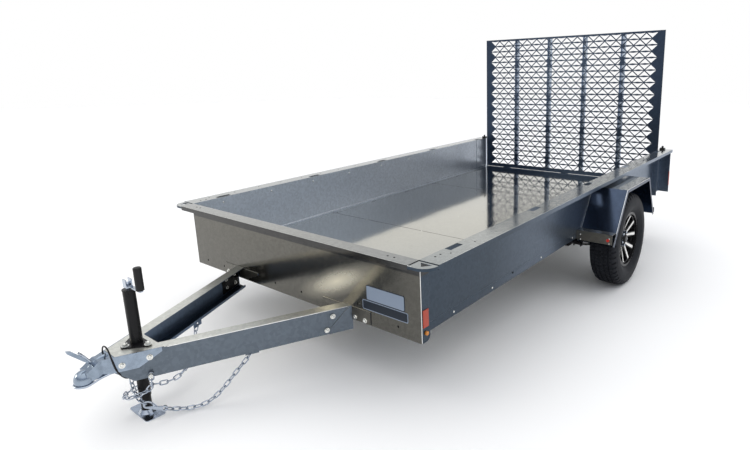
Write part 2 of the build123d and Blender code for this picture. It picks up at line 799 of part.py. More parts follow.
def spring_clamp():
    """Left U-bolts over the axle and the plate under the spring."""
    half = spring_width / 2
    low = tyre_radius - axle_radius - 6 - spring_leaf * spring_leaves
    plate = block(spring_place - half - 8, spring_place + half + 8, axle_place - 52,
                  axle_place + 52, low - 8, low)
    parts = plate
    rod = 5.0
    for x in (spring_place - half - rod - 0.3, spring_place + half + rod + 0.3):
        ring = tube_x(axle_radius + 0.3 + 2 * rod, x - rod, x + rod, axle_place, tyre_radius)
        ring -= tube_x(axle_radius + 0.3, x - rod - 1, x + rod + 1, axle_place, tyre_radius)
        ring &= block(x - rod, x + rod, axle_place - 60, axle_place + 60, tyre_radius,
                      tyre_radius + 60)
        parts += ring
        for y in (axle_place - axle_radius - rod - 0.3, axle_place + axle_radius + rod + 0.3):
            parts += block(x - rod, x + rod, y - rod, y + rod, low - 16, tyre_radius)
    return parts


def tyre():
    half = tyre_width / 2
    bead = rim_width / 2 - 10
    r = tyre_radius
    path = [(-bead, rim_radius), (-bead - 2, rim_radius + 14), (-half + 2, rim_radius + 58),
            (-half, r - 82), (-half + 12, r - 26), (-half + 26, r - 5), (-half + 46, r),
            (half - 46, r), (half - 26, r - 5), (half - 12, r - 26), (half, r - 82),
            (half - 2, rim_radius + 58), (bead + 2, rim_radius + 14), (bead, rim_radius)]
    outline = Face(Wire.make_polygon([Vector(a, b, 0) for a, b in path]))
    ring = revolve(outline, Axis.X)
    return Pos(wheel_middle, axle_place, tyre_radius) * ring


def rim():
    """Left wheel: barrel with its flanges, and a dished face of split spokes."""
    half = rim_width / 2
    r = rim_radius
    barrel = [(-half, r + 12), (-half, r - 6), (-20, r - 20), (half - 34, r - 20),
              (half - 22, r - 8), (half, r - 6), (half, r + 12), (half - 6, r + 12),
              (half - 9, r - 0.3), (-half + 9, r - 0.3), (-half + 6, r + 12)]
    body = revolve(Face(Wire.make_polygon([Vector(a, b, 0) for a, b in barrel])), Axis.X)
    dish = [(6, 0), (6, hub_radius), (half - 40, r - 12), (half - 12, r - 12),
            (34, hub_radius), (34, 0)]
    face = revolve(Face(Wire.make_polygon([Vector(a, b, 0) for a, b in dish])), Axis.X)
    far = r - 20
    step = 360 / spoke_pairs
    for k in range(spoke_pairs):
        for turn, near, spread_in, spread_out in ((0, hub_radius + 26, 2.0, 12.0),
                                                  (step / 2, hub_radius + 4, 7.0, 13.0)):
            window = []
            for radius, angle in ((near, -spread_in), (far, -spread_out), (far + 5, 0),
                                  (far, spread_out), (near, spread_in)):
                a = math.radians(90 + turn + k * step + angle)
                window.append((radius * math.cos(a), radius * math.sin(a)))
            face -= along_x(window, 0, half + 10)
    wheel = body + face
    wheel -= tube_x(33, -1, 60, 0, 0)
    return Pos(wheel_middle, axle_place, tyre_radius) * wheel


def hub():
    """Left hub: bearing barrel, wheel flange and dust cap, on the spindle."""
    profile = [(-60, spindle_radius + spindle_fit), (-60, 38), (-30, 38), (-24, 45), (-4, 45),
               (-4, 62), (6, 62), (6, 32.5), (36, 30), (52, 24), (56, 0), (46, 0),
               (46, spindle_radius + spindle_fit)]
    ring = revolve(Face(Wire.make_polygon([Vector(a, b, 0) for a, b in profile])), Axis.X)
    return Pos(wheel_middle, axle_place, tyre_radius) * ring


# ---- fenders ----
def fender():
    """Left fender: flat top, sloping ends and a turned-down outer lip."""
    path = [fender_rear_foot, (fender_rear_top, fender_top), (fender_front_top, fender_top),
            fender_front_foot]
    top = along_x(folded(path, sheet), wall_face, fender_outside)
    lip = along_x(folded(path, fender_lip), fender_outside - sheet, fender_outside)
    return top + lip


def fender_braces():
    """Angles across the fender's feet, left side."""
    front = fender_front_foot[0] - 20
    low = fender_front_foot[1] + 15
    path = [(front, low), (front, low + brace_height), (front + brace_depth, low + brace_height)]
    near = along_x(folded(path[::-1], sheet), wall_face, fender_outside - 4)
    back = fender_rear_foot[0] + 24
    foot = fender_rear_foot[1] + 4
    path = [(back - 18, foot + 38), (back, foot + 38), (back, foot)]
    far = along_x(folded(path[::-1], sheet), wall_face, fender_outside - 4)
    return [near, far]


# ---- gate ----
def gate_sheet():
    """Ramp sheet: punched field and four edges folded back."""
    half = gate_width / 2
    t = gate_sheet_thick
    field_half = half - gate_margin
    pitch = 2 * field_half / gate_columns
    field_low = gate_bottom + gate_margin * 0.6
    row = (gate_top - 13 - field_low) / gate_rows
    outer = Wire.make_polygon([Vector(-half, gate_place, gate_bottom),
                               Vector(half, gate_place, gate_bottom),
                               Vector(half, gate_place, gate_top),
                               Vector(-half, gate_place, gate_top)])
    inset_x = gate_bar * 0.75
    inset_z = gate_bar * 0.75
    holes = []
    for line in range(1, gate_rows):
        z = field_low + line * row
        shift = 0.5 if line % 2 else 0.0
        for column in range(gate_columns + 1):
            x = -field_half + (column + shift) * pitch
            if x - pitch / 2 < -field_half - 1 or x + pitch / 2 > field_half + 1:
                continue
            holes.append(Wire.make_polygon([
                Vector(x - pitch / 2 + inset_x, gate_place, z),
                Vector(x, gate_place, z - row + inset_z),
                Vector(x + pitch / 2 - inset_x, gate_place, z),
                Vector(x, gate_place, z + row - inset_z)]))
    field = Face(outer, holes)
    plate = extrude(field, amount=t, dir=(0, 1, 0))
    rear = gate_place + t + gate_fold
    front = gate_place + t
    plate += block(-half, -half + t, front, rear, gate_bottom, gate_top)
    plate += block(half - t, half, front, rear, gate_bottom, gate_top)
    plate += block(-half + t, half - t, front, rear, gate_top - t, gate_top)
    plate += block(-half + t, half - t, front, rear, gate_bottom, gate_bottom + t)
    return plate


def gate_ribs():
    """Upright hat ribs behind the sheet."""
    ribs = []
    front = gate_place + gate_sheet_thick
    for place in rib_places:
        path = [(place + rib_width / 2, front), (place + rib_width / 2, front + rib_depth),
                (place - rib_width / 2, front + rib_depth), (place - rib_width / 2, front)]
        ribs.append(along_z(folded(path, gate_sheet_thick), gate_bottom + gate_sheet_thick,
                            gate_top - gate_sheet_thick))
    return Compound(ribs)


def hinge_knuckles():
    """Fixed knuckles, each on a strap that rises from the sill's rear face."""
    knuckles = []
    for place in hinge_places:
        half = knuckle_length / 2
        outline = [(bed_end, hinge_height - 60), (bed_end + 6, hinge_height - 60),
                   (hinge_y + knuckle_radius - 2, hinge_height - 4), (hinge_y, hinge_height),
                   (bed_end, hinge_height - 10)]
        lug = along_x(outline, place - half, place + half)
        lug += tube_x(knuckle_radius, place - half, place + half, hinge_y, hinge_height)
        lug -= tube_x(pin_radius + hinge_fit, place - half - 1, place + half + 1, hinge_y,
                      hinge_height)
        knuckles.append(lug)
    return Compound(knuckles)


def gate_hinges():
    """Gate's ears either side of each knuckle, and the pin between them."""
    ears = []
    rear = gate_place + gate_sheet_thick + gate_fold
    low = gate_bottom - ear_rise
    for place in hinge_places:
        half = knuckle_length / 2 + 1
        lug = tube_x(pin_radius, place - half - ear_thick, place + half + ear_thick, hinge_y,
                     hinge_height)
        for a in (place - half - ear_thick, place + half):
            outline = [(gate_place + 8, gate_bottom), (gate_place + 16, low), (hinge_y, low),
                       (hinge_y, gate_bottom + 3), (rear, gate_bottom)]
            lug += along_x(outline, a, a + ear_thick)
            lug += tube_x(knuckle_radius, a, a + ear_thick, hinge_y, hinge_height)
        ears.append(lug)
    return Compound(ears)


def gate_latch():
    """Left latch block on the rail's end, with its knob."""
    x = half_inside + 30
    y = bed_end - 34
    body = block(x - 22, x + 22, y - 16, y + 16, rail_top, rail_top + 16)
    knob = Pos(x, y, rail_top + 16 + 9) * Cylinder(9, 18)
    return body + knob


def marker_lamps():
    lamps = []
    x = wall_face + sheet
    for side in (-1, 1):
        lamp = Pos(side * (x + marker_thick / 2), front_face + 31, marker_height) * (
            Rot(0, 90, 0) * Cylinder(marker_radius, marker_thick))
        lamps.append(lamp)
        y = fender_front_foot[0] - 20
        lamp = Pos(side * (fender_outside - marker_inset), y - marker_thick / 2,
                   fender_front_foot[1] + marker_rise) * (
            Rot(90, 0, 0) * Cylinder(marker_radius, marker_thick))
        lamps.append(lamp)
    return Compound(lamps)


def reflectors():
    plates = []
    x = wall_face + sheet
    for side in (-1, 1):
        a, b = sorted((side * x, side * (x + 3)))
        plates.append(block(a, b, front_face + 9, front_face + 9 + reflector_width,
                            reflector_low, reflector_low + reflector_height))
    return Compound(plates)


parts = {}
parts["front_wall"] = front_wall()
parts["side_left"] = side_wall()
parts["side_right"] = mirrored(parts["side_left"])
plate = corner_plate()
parts["corner_plates"] = Compound([plate, mirrored(plate)])
stations = (front_rail_width,) + deck_seams + (bed_end,)
for name, start, end in zip(("front", "middle", "rear"), stations, stations[1:]):
    parts["deck_" + name] = deck_sheet(start, end)
parts["crossmembers"] = crossmembers()
parts["front_beam"] = front_beam()
parts["rear_sill"] = rear_sill()
for name, make in (("rear_post", rear_post), ("tongue", tongue_member), ("fender", fender),
                   ("tyre", tyre), ("rim", rim), ("hub", hub)):
    parts[name + "_left"] = make()
    parts[name + "_right"] = mirrored(parts[name + "_left"])
for name, make in (("tail_lamps", tail_lamp), ("post_liners", post_liner),
                   ("spring_rails", spring_rail), ("leaf_springs", leaf_spring),
                   ("spring_clamps", spring_clamp), ("gate_latches", gate_latch)):
    one = make()
    parts[name] = Compound([one, mirrored(one)])
for name, make in (("tongue_brackets", tongue_brackets), ("fender_braces", fender_braces)):
    pair = make()
    parts[name] = Compound(pair + [mirrored(one) for one in pair])
parts["safety_chains"] = Compound(safety_chain(-1, hooked_route, True)
                                  + safety_chain(1, looped_route, False))
parts["nose_plate"] = nose_plate()
parts["coupler"] = coupler()
latch = coupler_latch() - parts["coupler"]
parts["coupler_latch"] = latch.solids().sort_by(SortBy.VOLUME)[-1]
parts["jack_tube"] = jack_tube()
parts["jack_crank"] = jack_crank()
parts["jack_grip"] = jack_grip()
parts["jack_leg"] = jack_leg()
parts["jack_foot"] = jack_foot()
parts["axle"] = axle()
parts["gate_sheet"] = gate_sheet()
parts["gate_ribs"] = gate_ribs()
parts["hinge_knuckles"] = hinge_knuckles()
parts["gate_hinges"] = gate_hinges()
parts["marker_lamps"] = marker_lamps()
parts["reflectors"] = reflectors()

# ---- park: nose down on the jack, floor at z = 0, middle of the length at y = 0 ----
tip = Rot(nose_pitch, 0, 0)
axle_turned = Vector(0, axle_place, tyre_radius).rotate(Axis.X, nose_pitch)
lift = tyre_radius - axle_turned.Z
parked = {name: Pos(0, 0, lift) * tip * part for name, part in parts.items()}
front_end = min(part.bounding_box().min.Y for part in parked.values())
rear_end = max(part.bounding_box().max.Y for part in parked.values())
middle_shift = -(front_end + rear_end) / 2

if __name__ == "__main__":
    os.makedirs("parts", exist_ok=True)
    for name, part in parked.items():
        export_step(Pos(0, middle_shift, 0) * part, f"parts/{name}.step")
    print("nodes", len(parked), "pitch", round(nose_pitch, 3), "length", rear_end - front_end)
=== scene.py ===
import json
import math

import bmesh
import bpy
import numpy as np
from mathutils import Matrix, Vector


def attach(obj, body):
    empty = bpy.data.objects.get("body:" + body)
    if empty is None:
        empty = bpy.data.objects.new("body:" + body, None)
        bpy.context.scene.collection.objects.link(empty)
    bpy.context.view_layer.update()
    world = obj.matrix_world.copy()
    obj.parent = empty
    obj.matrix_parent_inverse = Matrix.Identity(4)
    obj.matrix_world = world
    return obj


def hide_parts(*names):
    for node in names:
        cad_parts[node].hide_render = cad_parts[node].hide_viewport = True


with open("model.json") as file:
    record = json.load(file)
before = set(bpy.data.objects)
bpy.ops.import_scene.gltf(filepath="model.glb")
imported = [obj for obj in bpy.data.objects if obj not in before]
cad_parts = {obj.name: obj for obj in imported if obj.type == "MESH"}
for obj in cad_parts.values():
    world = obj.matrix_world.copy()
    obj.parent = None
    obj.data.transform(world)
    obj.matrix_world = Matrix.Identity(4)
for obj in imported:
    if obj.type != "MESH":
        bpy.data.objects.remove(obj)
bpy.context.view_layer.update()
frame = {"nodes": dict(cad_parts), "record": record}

# ---- sizes, in metres ----
# Pieces are drawn on the level bed: x = 0 is the centre plane (+x the trailer's left),
# y = 0 the front rail's leading edge (+y rearward), z = 0 the floor under the axle.
SHEET = 0.003
HALF_INSIDE = 0.9525
WALL_FACE = HALF_INSIDE + SHEET
RAIL_EDGE = 1.0645
RAIL_TOP = 0.794
LIP_FOOT = 0.768
DECK_TOP = 0.458
FRONT_FACE = 0.080
FRONT_BOTTOM = 0.386
SIDE_BOTTOM = 0.426
DECK_SEAMS = (1.280, 2.640)
CROSSMEMBERS = (0.340, 0.700, 1.280, 1.750, 2.210, 2.640, 3.060, 3.420)
STAKE_SLOTS = (0.317, 1.135, 1.932, 2.700, 3.536)
AXLE_Y = 2.247
TYRE_RADIUS = 0.341
WHEEL_X = 1.0985
TONGUE_TOP = 0.460
TONGUE_APEX = 0.980  # ahead of the bed, where the members' outer faces would meet
TONGUE_HALF = 0.5035
TONGUE_SLOPE = TONGUE_HALF / (TONGUE_APEX + FRONT_FACE)
TONGUE_WEB = 0.0040
JACK_Y = -0.759
GATE_HALF = 0.944
GATE_LOW = 0.474
GATE_HIGH = 1.881
GATE_FACE = 3.698
GATE_SHEET = 0.003
GATE_RIBS = (-0.567, -0.189, 0.189, 0.567)
JOIN = 1e-6  # corners nearer than this are one

# ---- the parked attitude ----
joints = {joint["name"]: joint for joint in frame["record"]["behaviour"]["joints"]}
slide_axis = joints["jack_slide"]["axis"]
nose_pitch = math.atan2(-slide_axis[1], slide_axis[2])
wheel_centre = Vector(joints["wheel_left_spin"]["pos_m"])
PARK = (Matrix.Translation((0, wheel_centre.y, wheel_centre.z))
        @ Matrix.Rotation(nose_pitch, 4, "X")
        @ Matrix.Translation((0, -AXLE_Y, -TYRE_RADIUS)))


# ---- node helpers ----
def new_material(name, metallic=0.0, roughness=0.5, coat=0.0):
    """A Principled material, with its node tree, shader and Object coordinates."""
    material = bpy.data.materials.new(name)
    material.use_nodes = True
    tree = material.node_tree
    shader = tree.nodes["Principled BSDF"]
    shader.inputs["Metallic"].default_value = metallic
    shader.inputs["Roughness"].default_value = roughness
    shader.inputs["Coat Weight"].default_value = coat
    place = tree.nodes.new("ShaderNodeTexCoord").outputs["Object"]
    return material, tree, shader, place


def noise(tree, place, scale, detail=3.0, roughness=0.5):
    """Noise from 0 to 1 at a place."""
    node = tree.nodes.new("ShaderNodeTexNoise")
    node.inputs["Scale"].default_value = scale
    node.inputs["Detail"].default_value = detail
    node.inputs["Roughness"].default_value = roughness
    tree.links.new(place, node.inputs["Vector"])
    return node.outputs["Fac"]


def ramp(tree, value, stops):
    """Colour ramp with (position, colour) stops."""
    node = tree.nodes.new("ShaderNodeValToRGB")
    elements = node.color_ramp.elements
    while len(elements) < len(stops):
        elements.new(0.5)
    for element, (position, colour) in zip(elements, stops):
        element.position = position
        element.color = (*colour, 1.0)
    tree.links.new(value, node.inputs["Fac"])
    return node.outputs["Color"]


def span(tree, value, low, high, out_low=0.0, out_high=1.0):
    """Value moved from one range to another, 0 to 1 if not said, held at its ends."""
    node = tree.nodes.new("ShaderNodeMapRange")
    for name, number in (("From Min", low), ("From Max", high), ("To Min", out_low),
                         ("To Max", out_high)):
        node.inputs[name].default_value = number
    tree.links.new(value, node.inputs["Value"])
    return node.outputs["Result"]


def mix(tree, factor, first, second, mode="MIX"):
    """Mix of two colours; each is a socket or a plain colour."""
    node = tree.nodes.new("ShaderNodeMix")
    node.data_type = "RGBA"
    node.blend_type = mode
    for socket, value in ((node.inputs[0], factor), (node.inputs[6], first),
                          (node.inputs[7], second)):
        if isinstance(value, bpy.types.NodeSocket):
            tree.links.new(value, socket)
        elif isinstance(value, tuple):
            socket.default_value = (*value, 1.0)
        else:
            socket.default_value = value
    return node.outputs[2]


def maths(tree, operation, first, second=None):
    """One sum on sockets or plain numbers."""
    node = tree.nodes.new("ShaderNodeMath")
    node.operation = operation
    for socket, value in zip(node.inputs, (first, second)):
        if isinstance(value, bpy.types.NodeSocket):
            tree.links.new(value, socket)
        elif value is not None:
            socket.default_value = value
    return node.outputs[0]


def hypotenuse(tree, first, second):
    """Length of a line from its two parts at right angles."""
    squares = [maths(tree, "MULTIPLY", part, part) for part in (first, second)]
    return maths(tree, "SQRT", maths(tree, "ADD", *squares))


def axes(tree, vector):
    """The x, y and z of a vector."""
    node = tree.nodes.new("ShaderNodeSeparateXYZ")
    tree.links.new(vector, node.inputs[0])
    return node.outputs[0], node.outputs[1], node.outputs[2]


def normal_axes(tree):
    """The x, y and z of the face's own normal."""
    return axes(tree, tree.nodes.new("ShaderNodeNewGeometry").outputs["True Normal"])


def bump(tree, shader, height, strength, distance):
    """Raises a height pattern on the surface."""
    node = tree.nodes.new("ShaderNodeBump")
    node.inputs["Strength"].default_value = strength
    node.inputs["Distance"].default_value = distance
    tree.links.new(height, node.inputs["Height"])
    tree.links.new(node.outputs["Normal"], shader.inputs["Normal"])


def facing_in(tree, place, reach):
    """1 on upright faces, more than `reach` out, that look towards the centre plane."""
    across, _, _ = normal_axes(tree)
    x, _, _ = axes(tree, place)
    return span(tree, maths(tree, "MULTIPLY", x, across), -reach - 0.01, -reach, 1.0, 0.0)


def facing(tree, axis):
    """1 on faces whose normal lies along the axis, either way (0 = across, 1 = lengthways)."""
    part = normal_axes(tree)[axis]
    return span(tree, maths(tree, "ABSOLUTE", part), 0.85, 0.95)


def bed_height(tree, place):
    """Height above the floor of the level trailer, from a place on the parked one."""
    _, y, z = axes(tree, place)
    ahead = maths(tree, "MULTIPLY", maths(tree, "SUBTRACT", AXLE_Y, y), math.sin(nose_pitch))
    return maths(tree, "ADD", z, ahead)


# ---- galvanised sheet, with painted light and shade ----
REAR_SHADE_FROM, REAR_SHADE_FULL = -0.7, 0.5  # along the parked trailer, where the painted reflection towards the back fades in
LIP_BLEND = 0.004
WELL_BLEND = 0.01
CRYSTAL_SCALE = 70.0
CRYSTAL_WARP = 0.03
CLOUD = 0.05


def side_colour(tree, place, shade, painted_shading):
    """Colour of upright faces: the plain shade under painted light and shade.

    rear: a painted reflection towards the back. inner: a painted colour for the light on faces
    looking inward, beyond inner_reach. across, front: the painted shade of faces flat on to that
    way. lip: painted shade on the folded lip under the rail.
    """
    side = shade
    if "rear" in painted_shading:
        _, y, _ = axes(tree, place)
        reach = span(tree, y, REAR_SHADE_FROM, REAR_SHADE_FULL)
        side = mix(tree, reach, side, painted_shading["rear"])
    if "inner" in painted_shading:
        side = mix(tree, facing_in(tree, place, painted_shading["inner_reach"]), side, painted_shading["inner"])
    if "across" in painted_shading:
        side = mix(tree, facing(tree, 0), side, painted_shading["across"])
    if "front" in painted_shading:
        side = mix(tree, facing(tree, 1), side, painted_shading["front"])
    if "lip" in painted_shading:
        high = span(tree, bed_height(tree, place), LIP_FOOT, LIP_FOOT + LIP_BLEND)
        side = mix(tree, high, side, painted_shading["lip"])
    return side


def top_colour(tree, place, shade, painted_shading):
    """Colour of faces that look up, painted as they are lit; those below well_top may take a
    painted shade of their own.
    """
    if "well" not in painted_shading:
        return shade
    top = painted_shading["well_top"]
    low = span(tree, bed_height(tree, place), top, top + WELL_BLEND, 1, 0)
    return mix(tree, low, shade, painted_shading["well"])


def crystal_values(tree, place):
    """Two random values for each zinc crystal, whose outlines are slightly warped."""
    crystals = tree.nodes.new("ShaderNodeTexVoronoi")
    crystals.inputs["Scale"].default_value = CRYSTAL_SCALE
    warp = tree.nodes.new("ShaderNodeTexNoise")
    warp.inputs["Scale"].default_value = 20.0
    tree.links.new(place, warp.inputs["Vector"])
    warped = mix(tree, CRYSTAL_WARP, place, warp.outputs["Color"])
    tree.links.new(warped, crystals.inputs["Vector"])
    values = tree.nodes.new("ShaderNodeSeparateColor")
    tree.links.new(crystals.outputs["Color"], values.inputs[0])
    return values.outputs[0], values.outputs[1]


def painted_glare_patch(tree, place, patch):
    """Mask of a painted glare: 1 at the middle of a slanted, soft-edged oval on a sheet that looks
    forward, 0 off it.
    """
    x, _, _ = axes(tree, place)
    dx = maths(tree, "SUBTRACT", x, patch["x"])
    dz = maths(tree, "SUBTRACT", bed_height(tree, place), patch["z"])
    cosine = math.cos(math.radians(patch["tilt"]))
    sine = math.sin(math.radians(patch["tilt"]))
    along = maths(tree, "ADD", maths(tree, "MULTIPLY", dx, cosine),
                  maths(tree, "MULTIPLY", dz, sine))
    across = maths(tree, "SUBTRACT", maths(tree, "MULTIPLY", dz, cosine),
                   maths(tree, "MULTIPLY", dx, sine))
    reach = hypotenuse(tree, maths(tree, "DIVIDE", along, patch["long"]),
                       maths(tree, "DIVIDE", across, patch["short"]))
    oval = ramp(tree, reach, ((0.0, (1, 1, 1)), (0.35, (0.62, 0.62, 0.62)),
                              (0.65, (0.18, 0.18, 0.18)), (1.0, (0, 0, 0))))
    _, forward, _ = normal_axes(tree)
    return maths(tree, "MULTIPLY", oval, span(tree, forward, -0.9, -0.8, 1, 0))


def sheet_steel(name, shade, top_shade, roughness=0.30, top_roughness=0.16, metallic=0.9,
                spangle=0.03, wave=0.010, painted_shading=None, painted_glare=None):
    """Galvanised sheet: faint spangle, a soft tone, tops of another gloss, and painted light and
    shade in the colours of tops and upright faces.
    """
    painted_shading = painted_shading or {}
    material, tree, shader, place = new_material(name, metallic, roughness)
    # tops and upright faces take different colours: painted light and shade
    _, _, upward = normal_axes(tree)
    up = span(tree, upward, 0.5, 0.9)
    base = mix(tree, up, side_colour(tree, place, shade, painted_shading),
               top_colour(tree, place, top_shade, painted_shading))
    first, second = crystal_values(tree, place)
    flaked = ramp(tree, first, ((0.0, (1 - 3 * spangle,) * 3), (1.0, (1 + 3 * spangle,) * 3)))
    spangled = mix(tree, 1.0, base, flaked, "MULTIPLY")
    clouds = ramp(tree, noise(tree, place, 1.7, 3.0, 0.55),
                  ((0.30, (1 - CLOUD,) * 3), (0.70, (1, 1, 1))))
    toned = mix(tree, 1.0, spangled, clouds, "MULTIPLY")
    gloss = maths(tree, "ADD", span(tree, up, 0, 1, roughness, top_roughness),
                  span(tree, second, 0, 1, -0.02, 0.03))
    # painted glare: a pale warm oval, with rougher gloss there
    if painted_glare:
        patch = painted_glare_patch(tree, place, painted_glare)
        toned = mix(tree, patch, toned, painted_glare["shade"])
        gloss = maths(tree, "ADD", gloss, span(tree, patch, 0, 1, 0.0, painted_glare["rough"]))
    tree.links.new(toned, shader.inputs["Base Color"])
    tree.links.new(gloss, shader.inputs["Roughness"])
    bump(tree, shader, noise(tree, place, 2.4, 1.0, 0.4), 0.20, wave)
    return material


# ---- other finishes ----
def zinc_plate(name, shade, roughness):
    """Bright zinc on small fittings, with faint smudges."""
    material, tree, shader, place = new_material(name, 1.0, roughness)
    smudge = noise(tree, place, 34.0, 4.0, 0.55)
    dull = tuple(0.84 * c for c in shade)
    tree.links.new(ramp(tree, smudge, ((0.35, dull), (0.62, shade))), shader.inputs["Base Color"])
    tree.links.new(span(tree, smudge, 0.3, 0.7, roughness + 0.08, roughness),
                   shader.inputs["Roughness"])
    bump(tree, shader, noise(tree, place, 260.0, 2.0), 0.06, 0.0006)
    return material


def black_paint(name, shade=(0.006, 0.006, 0.007), roughness=0.36):
    """Dark coating of any shade: fine orange peel, dust in the low places."""
    material, tree, shader, place = new_material(name, 0.0, roughness, 0.10)
    shader.inputs["Specular IOR Level"].default_value = 0.16
    dust = noise(tree, place, 26.0, 4.0, 0.65)
    tree.links.new(mix(tree, span(tree, dust, 0.5, 0.8, 0.0, 0.02), shade, (0.16, 0.15, 0.14)),
                   shader.inputs["Base Color"])
    tree.links.new(span(tree, dust, 0.4, 0.8, roughness, roughness + 0.25),
                   shader.inputs["Roughness"])
    bump(tree, shader, noise(tree, place, 700.0, 1.0), 0.10, 0.0004)
    return material


def tyre_rubber():
    """Black rubber with dust in its grain."""
    material, tree, shader, place = new_material("tyre rubber", 0.0, 0.62)
    shader.inputs["Specular IOR Level"].default_value = 0.22
    dust = noise(tree, place, 18.0, 5.0, 0.65)
    tree.links.new(ramp(tree, dust, ((0.35, (0.004, 0.005, 0.008)), (0.75, (0.012, 0.014, 0.019)))),
                   shader.inputs["Base Color"])
    bump(tree, shader, noise(tree, place, 520.0, 3.0), 0.25, 0.0008)
    return material


def machined_face():
    """Turned aluminium on the wheel's spokes: fine rings about the axle."""
    material, tree, shader, place = new_material("machined spoke faces", 1.0, 0.22, 0.3)
    _, y, z = axes(tree, place)
    radius = hypotenuse(tree, maths(tree, "SUBTRACT", y, wheel_centre.y),
                        maths(tree, "SUBTRACT", z, wheel_centre.z))
    rings = maths(tree, "SINE", maths(tree, "MULTIPLY", radius, 5200.0))
    tree.links.new(ramp(tree, noise(tree, place, 30.0), ((0.3, (0.62, 0.61, 0.59)),
                                                        (0.7, (0.82, 0.81, 0.79)))),
                   shader.inputs["Base Color"])
    bump(tree, shader, rings, 0.05, 0.0003)
    return material


def lens(name, shade, out_shade=None):
    """Moulded lamp lens with level ribs inside a glossy skin.

    out_shade, if given, is for lenses outside the body's corners, on the fenders.
    """
    material, tree, shader, place = new_material(name, 0.0, 0.30, 0.15)
    x, _, z = axes(tree, place)
    ribs = maths(tree, "SINE", maths(tree, "MULTIPLY", z, 1900.0))
    deep = tuple(0.45 * c for c in shade)
    colour = mix(tree, span(tree, ribs, -1, 1), deep, shade)
    if out_shade:
        out = span(tree, maths(tree, "ABSOLUTE", x), 1.02, 1.03)
        colour = mix(tree, out, colour, out_shade)
    tree.links.new(colour, shader.inputs["Base Color"])
    bump(tree, shader, ribs, 0.15, 0.0006)
    return material


# dark upright faces of the side sheet: painted shade and reflection, also on the front wall's
# corner returns
SIDE_SHADE = (0.045, 0.062, 0.084)
# each sheet's first two colours paint its upright faces and its tops as lit; the others paint
# light, reflection and shade on some faces
steel = {
    "sides": sheet_steel(
        "galvanised side sheet", SIDE_SHADE, (0.36, 0.38, 0.38), top_roughness=0.11,
        # painted light on the inner faces, a painted reflection towards the back, painted shade on
        # up-facing faces low down
        painted_shading={"inner": (0.62, 0.67, 0.74), "inner_reach": 0.4, "rear": (0.160, 0.200, 0.260),
               "well": (0.10, 0.11, 0.12), "well_top": 0.60}),
    "front": sheet_steel(
        "galvanised front sheet", (0.118, 0.114, 0.101), (0.29, 0.30, 0.30), 0.17, 0.11,
        # painted shade on the corner returns and on the lip under the rail
        wave=0.014, painted_shading={"across": SIDE_SHADE, "lip": (0.055, 0.055, 0.055)},
        # painted glare of warm light on the front wall
        painted_glare={"x": 0.40, "z": 0.62, "tilt": 24, "long": 0.34, "short": 0.085,
                "shade": (0.80, 0.75, 0.60), "rough": 0.20}),
    "deck": sheet_steel(
        "galvanised deck sheet", (0.60, 0.60, 0.57), (0.52, 0.52, 0.49), 0.2, 0.085,
        metallic=1.0, wave=0.006, spangle=0.008),
    "tongue": sheet_steel(
        "galvanised tongue channel", (0.130, 0.155, 0.185), (0.66, 0.66, 0.61), 0.34, 0.34,
        # painted shade in the channel and on the low flange; the front wall's painted colour on
        # forward faces
        painted_shading={"inner": (0.17, 0.23, 0.33), "inner_reach": 0.02, "front": (0.135, 0.130, 0.115),
               "well": (0.035, 0.055, 0.085), "well_top": 0.40}),
    "gate": sheet_steel("galvanised gate sheet", (0.028, 0.042, 0.070), (0.22, 0.26, 0.32)),
    "ribs": sheet_steel("galvanised gate ribs", (0.34, 0.40, 0.50), (0.30, 0.34, 0.40)),
    "fender": sheet_steel("galvanised fender sheet", (0.022, 0.040, 0.082), (0.31, 0.34, 0.36),
                          0.2, 0.10),
    "brace": sheet_steel("galvanised brace", (0.13, 0.125, 0.11), (0.40, 0.42, 0.42)),
    # tops darker than upright faces: painted shade under the bed
    "under": sheet_steel("galvanised underbody", (0.10, 0.11, 0.12), (0.06, 0.07, 0.09), 0.42),
}
zinc = zinc_plate("zinc plate", (0.44, 0.49, 0.57), 0.13)
zinc_body = zinc_plate("zinc on large fittings", (0.30, 0.36, 0.44), 0.17)
# near-white zinc for strips that paint glints on edges and folds
edge_glint = zinc_plate("painted edge glint", (0.90, 0.90, 0.88), 0.30)
bolt_zinc = zinc_plate("zinc bolts", (0.80, 0.80, 0.76), 0.18)
black = black_paint("black powder coat", roughness=0.26)
black_gloss = black_paint("black wheel lacquer", (0.008, 0.008, 0.009), 0.14)
rubber = tyre_rubber()
machined = machined_face()
red_lens = lens("red lens", (0.56, 0.045, 0.008))
marker_lens = lens("marker lenses", (0.85, 0.30, 0.03), (0.60, 0.02, 0.01))
grip_rubber = black_paint("black grip", (0.014, 0.014, 0.015), 0.42)
# near-black: painted shade inside the holes, and the dark lines of the deck's seams
hole_shade_and_seams = black_paint("painted hole shade and seams", (0.004, 0.004, 0.005), 0.8)
label_pale = black_paint("pale label stock", (0.23, 0.28, 0.36), 0.3)
label_dark = black_paint("dark label stock", (0.016, 0.022, 0.032), 0.3)

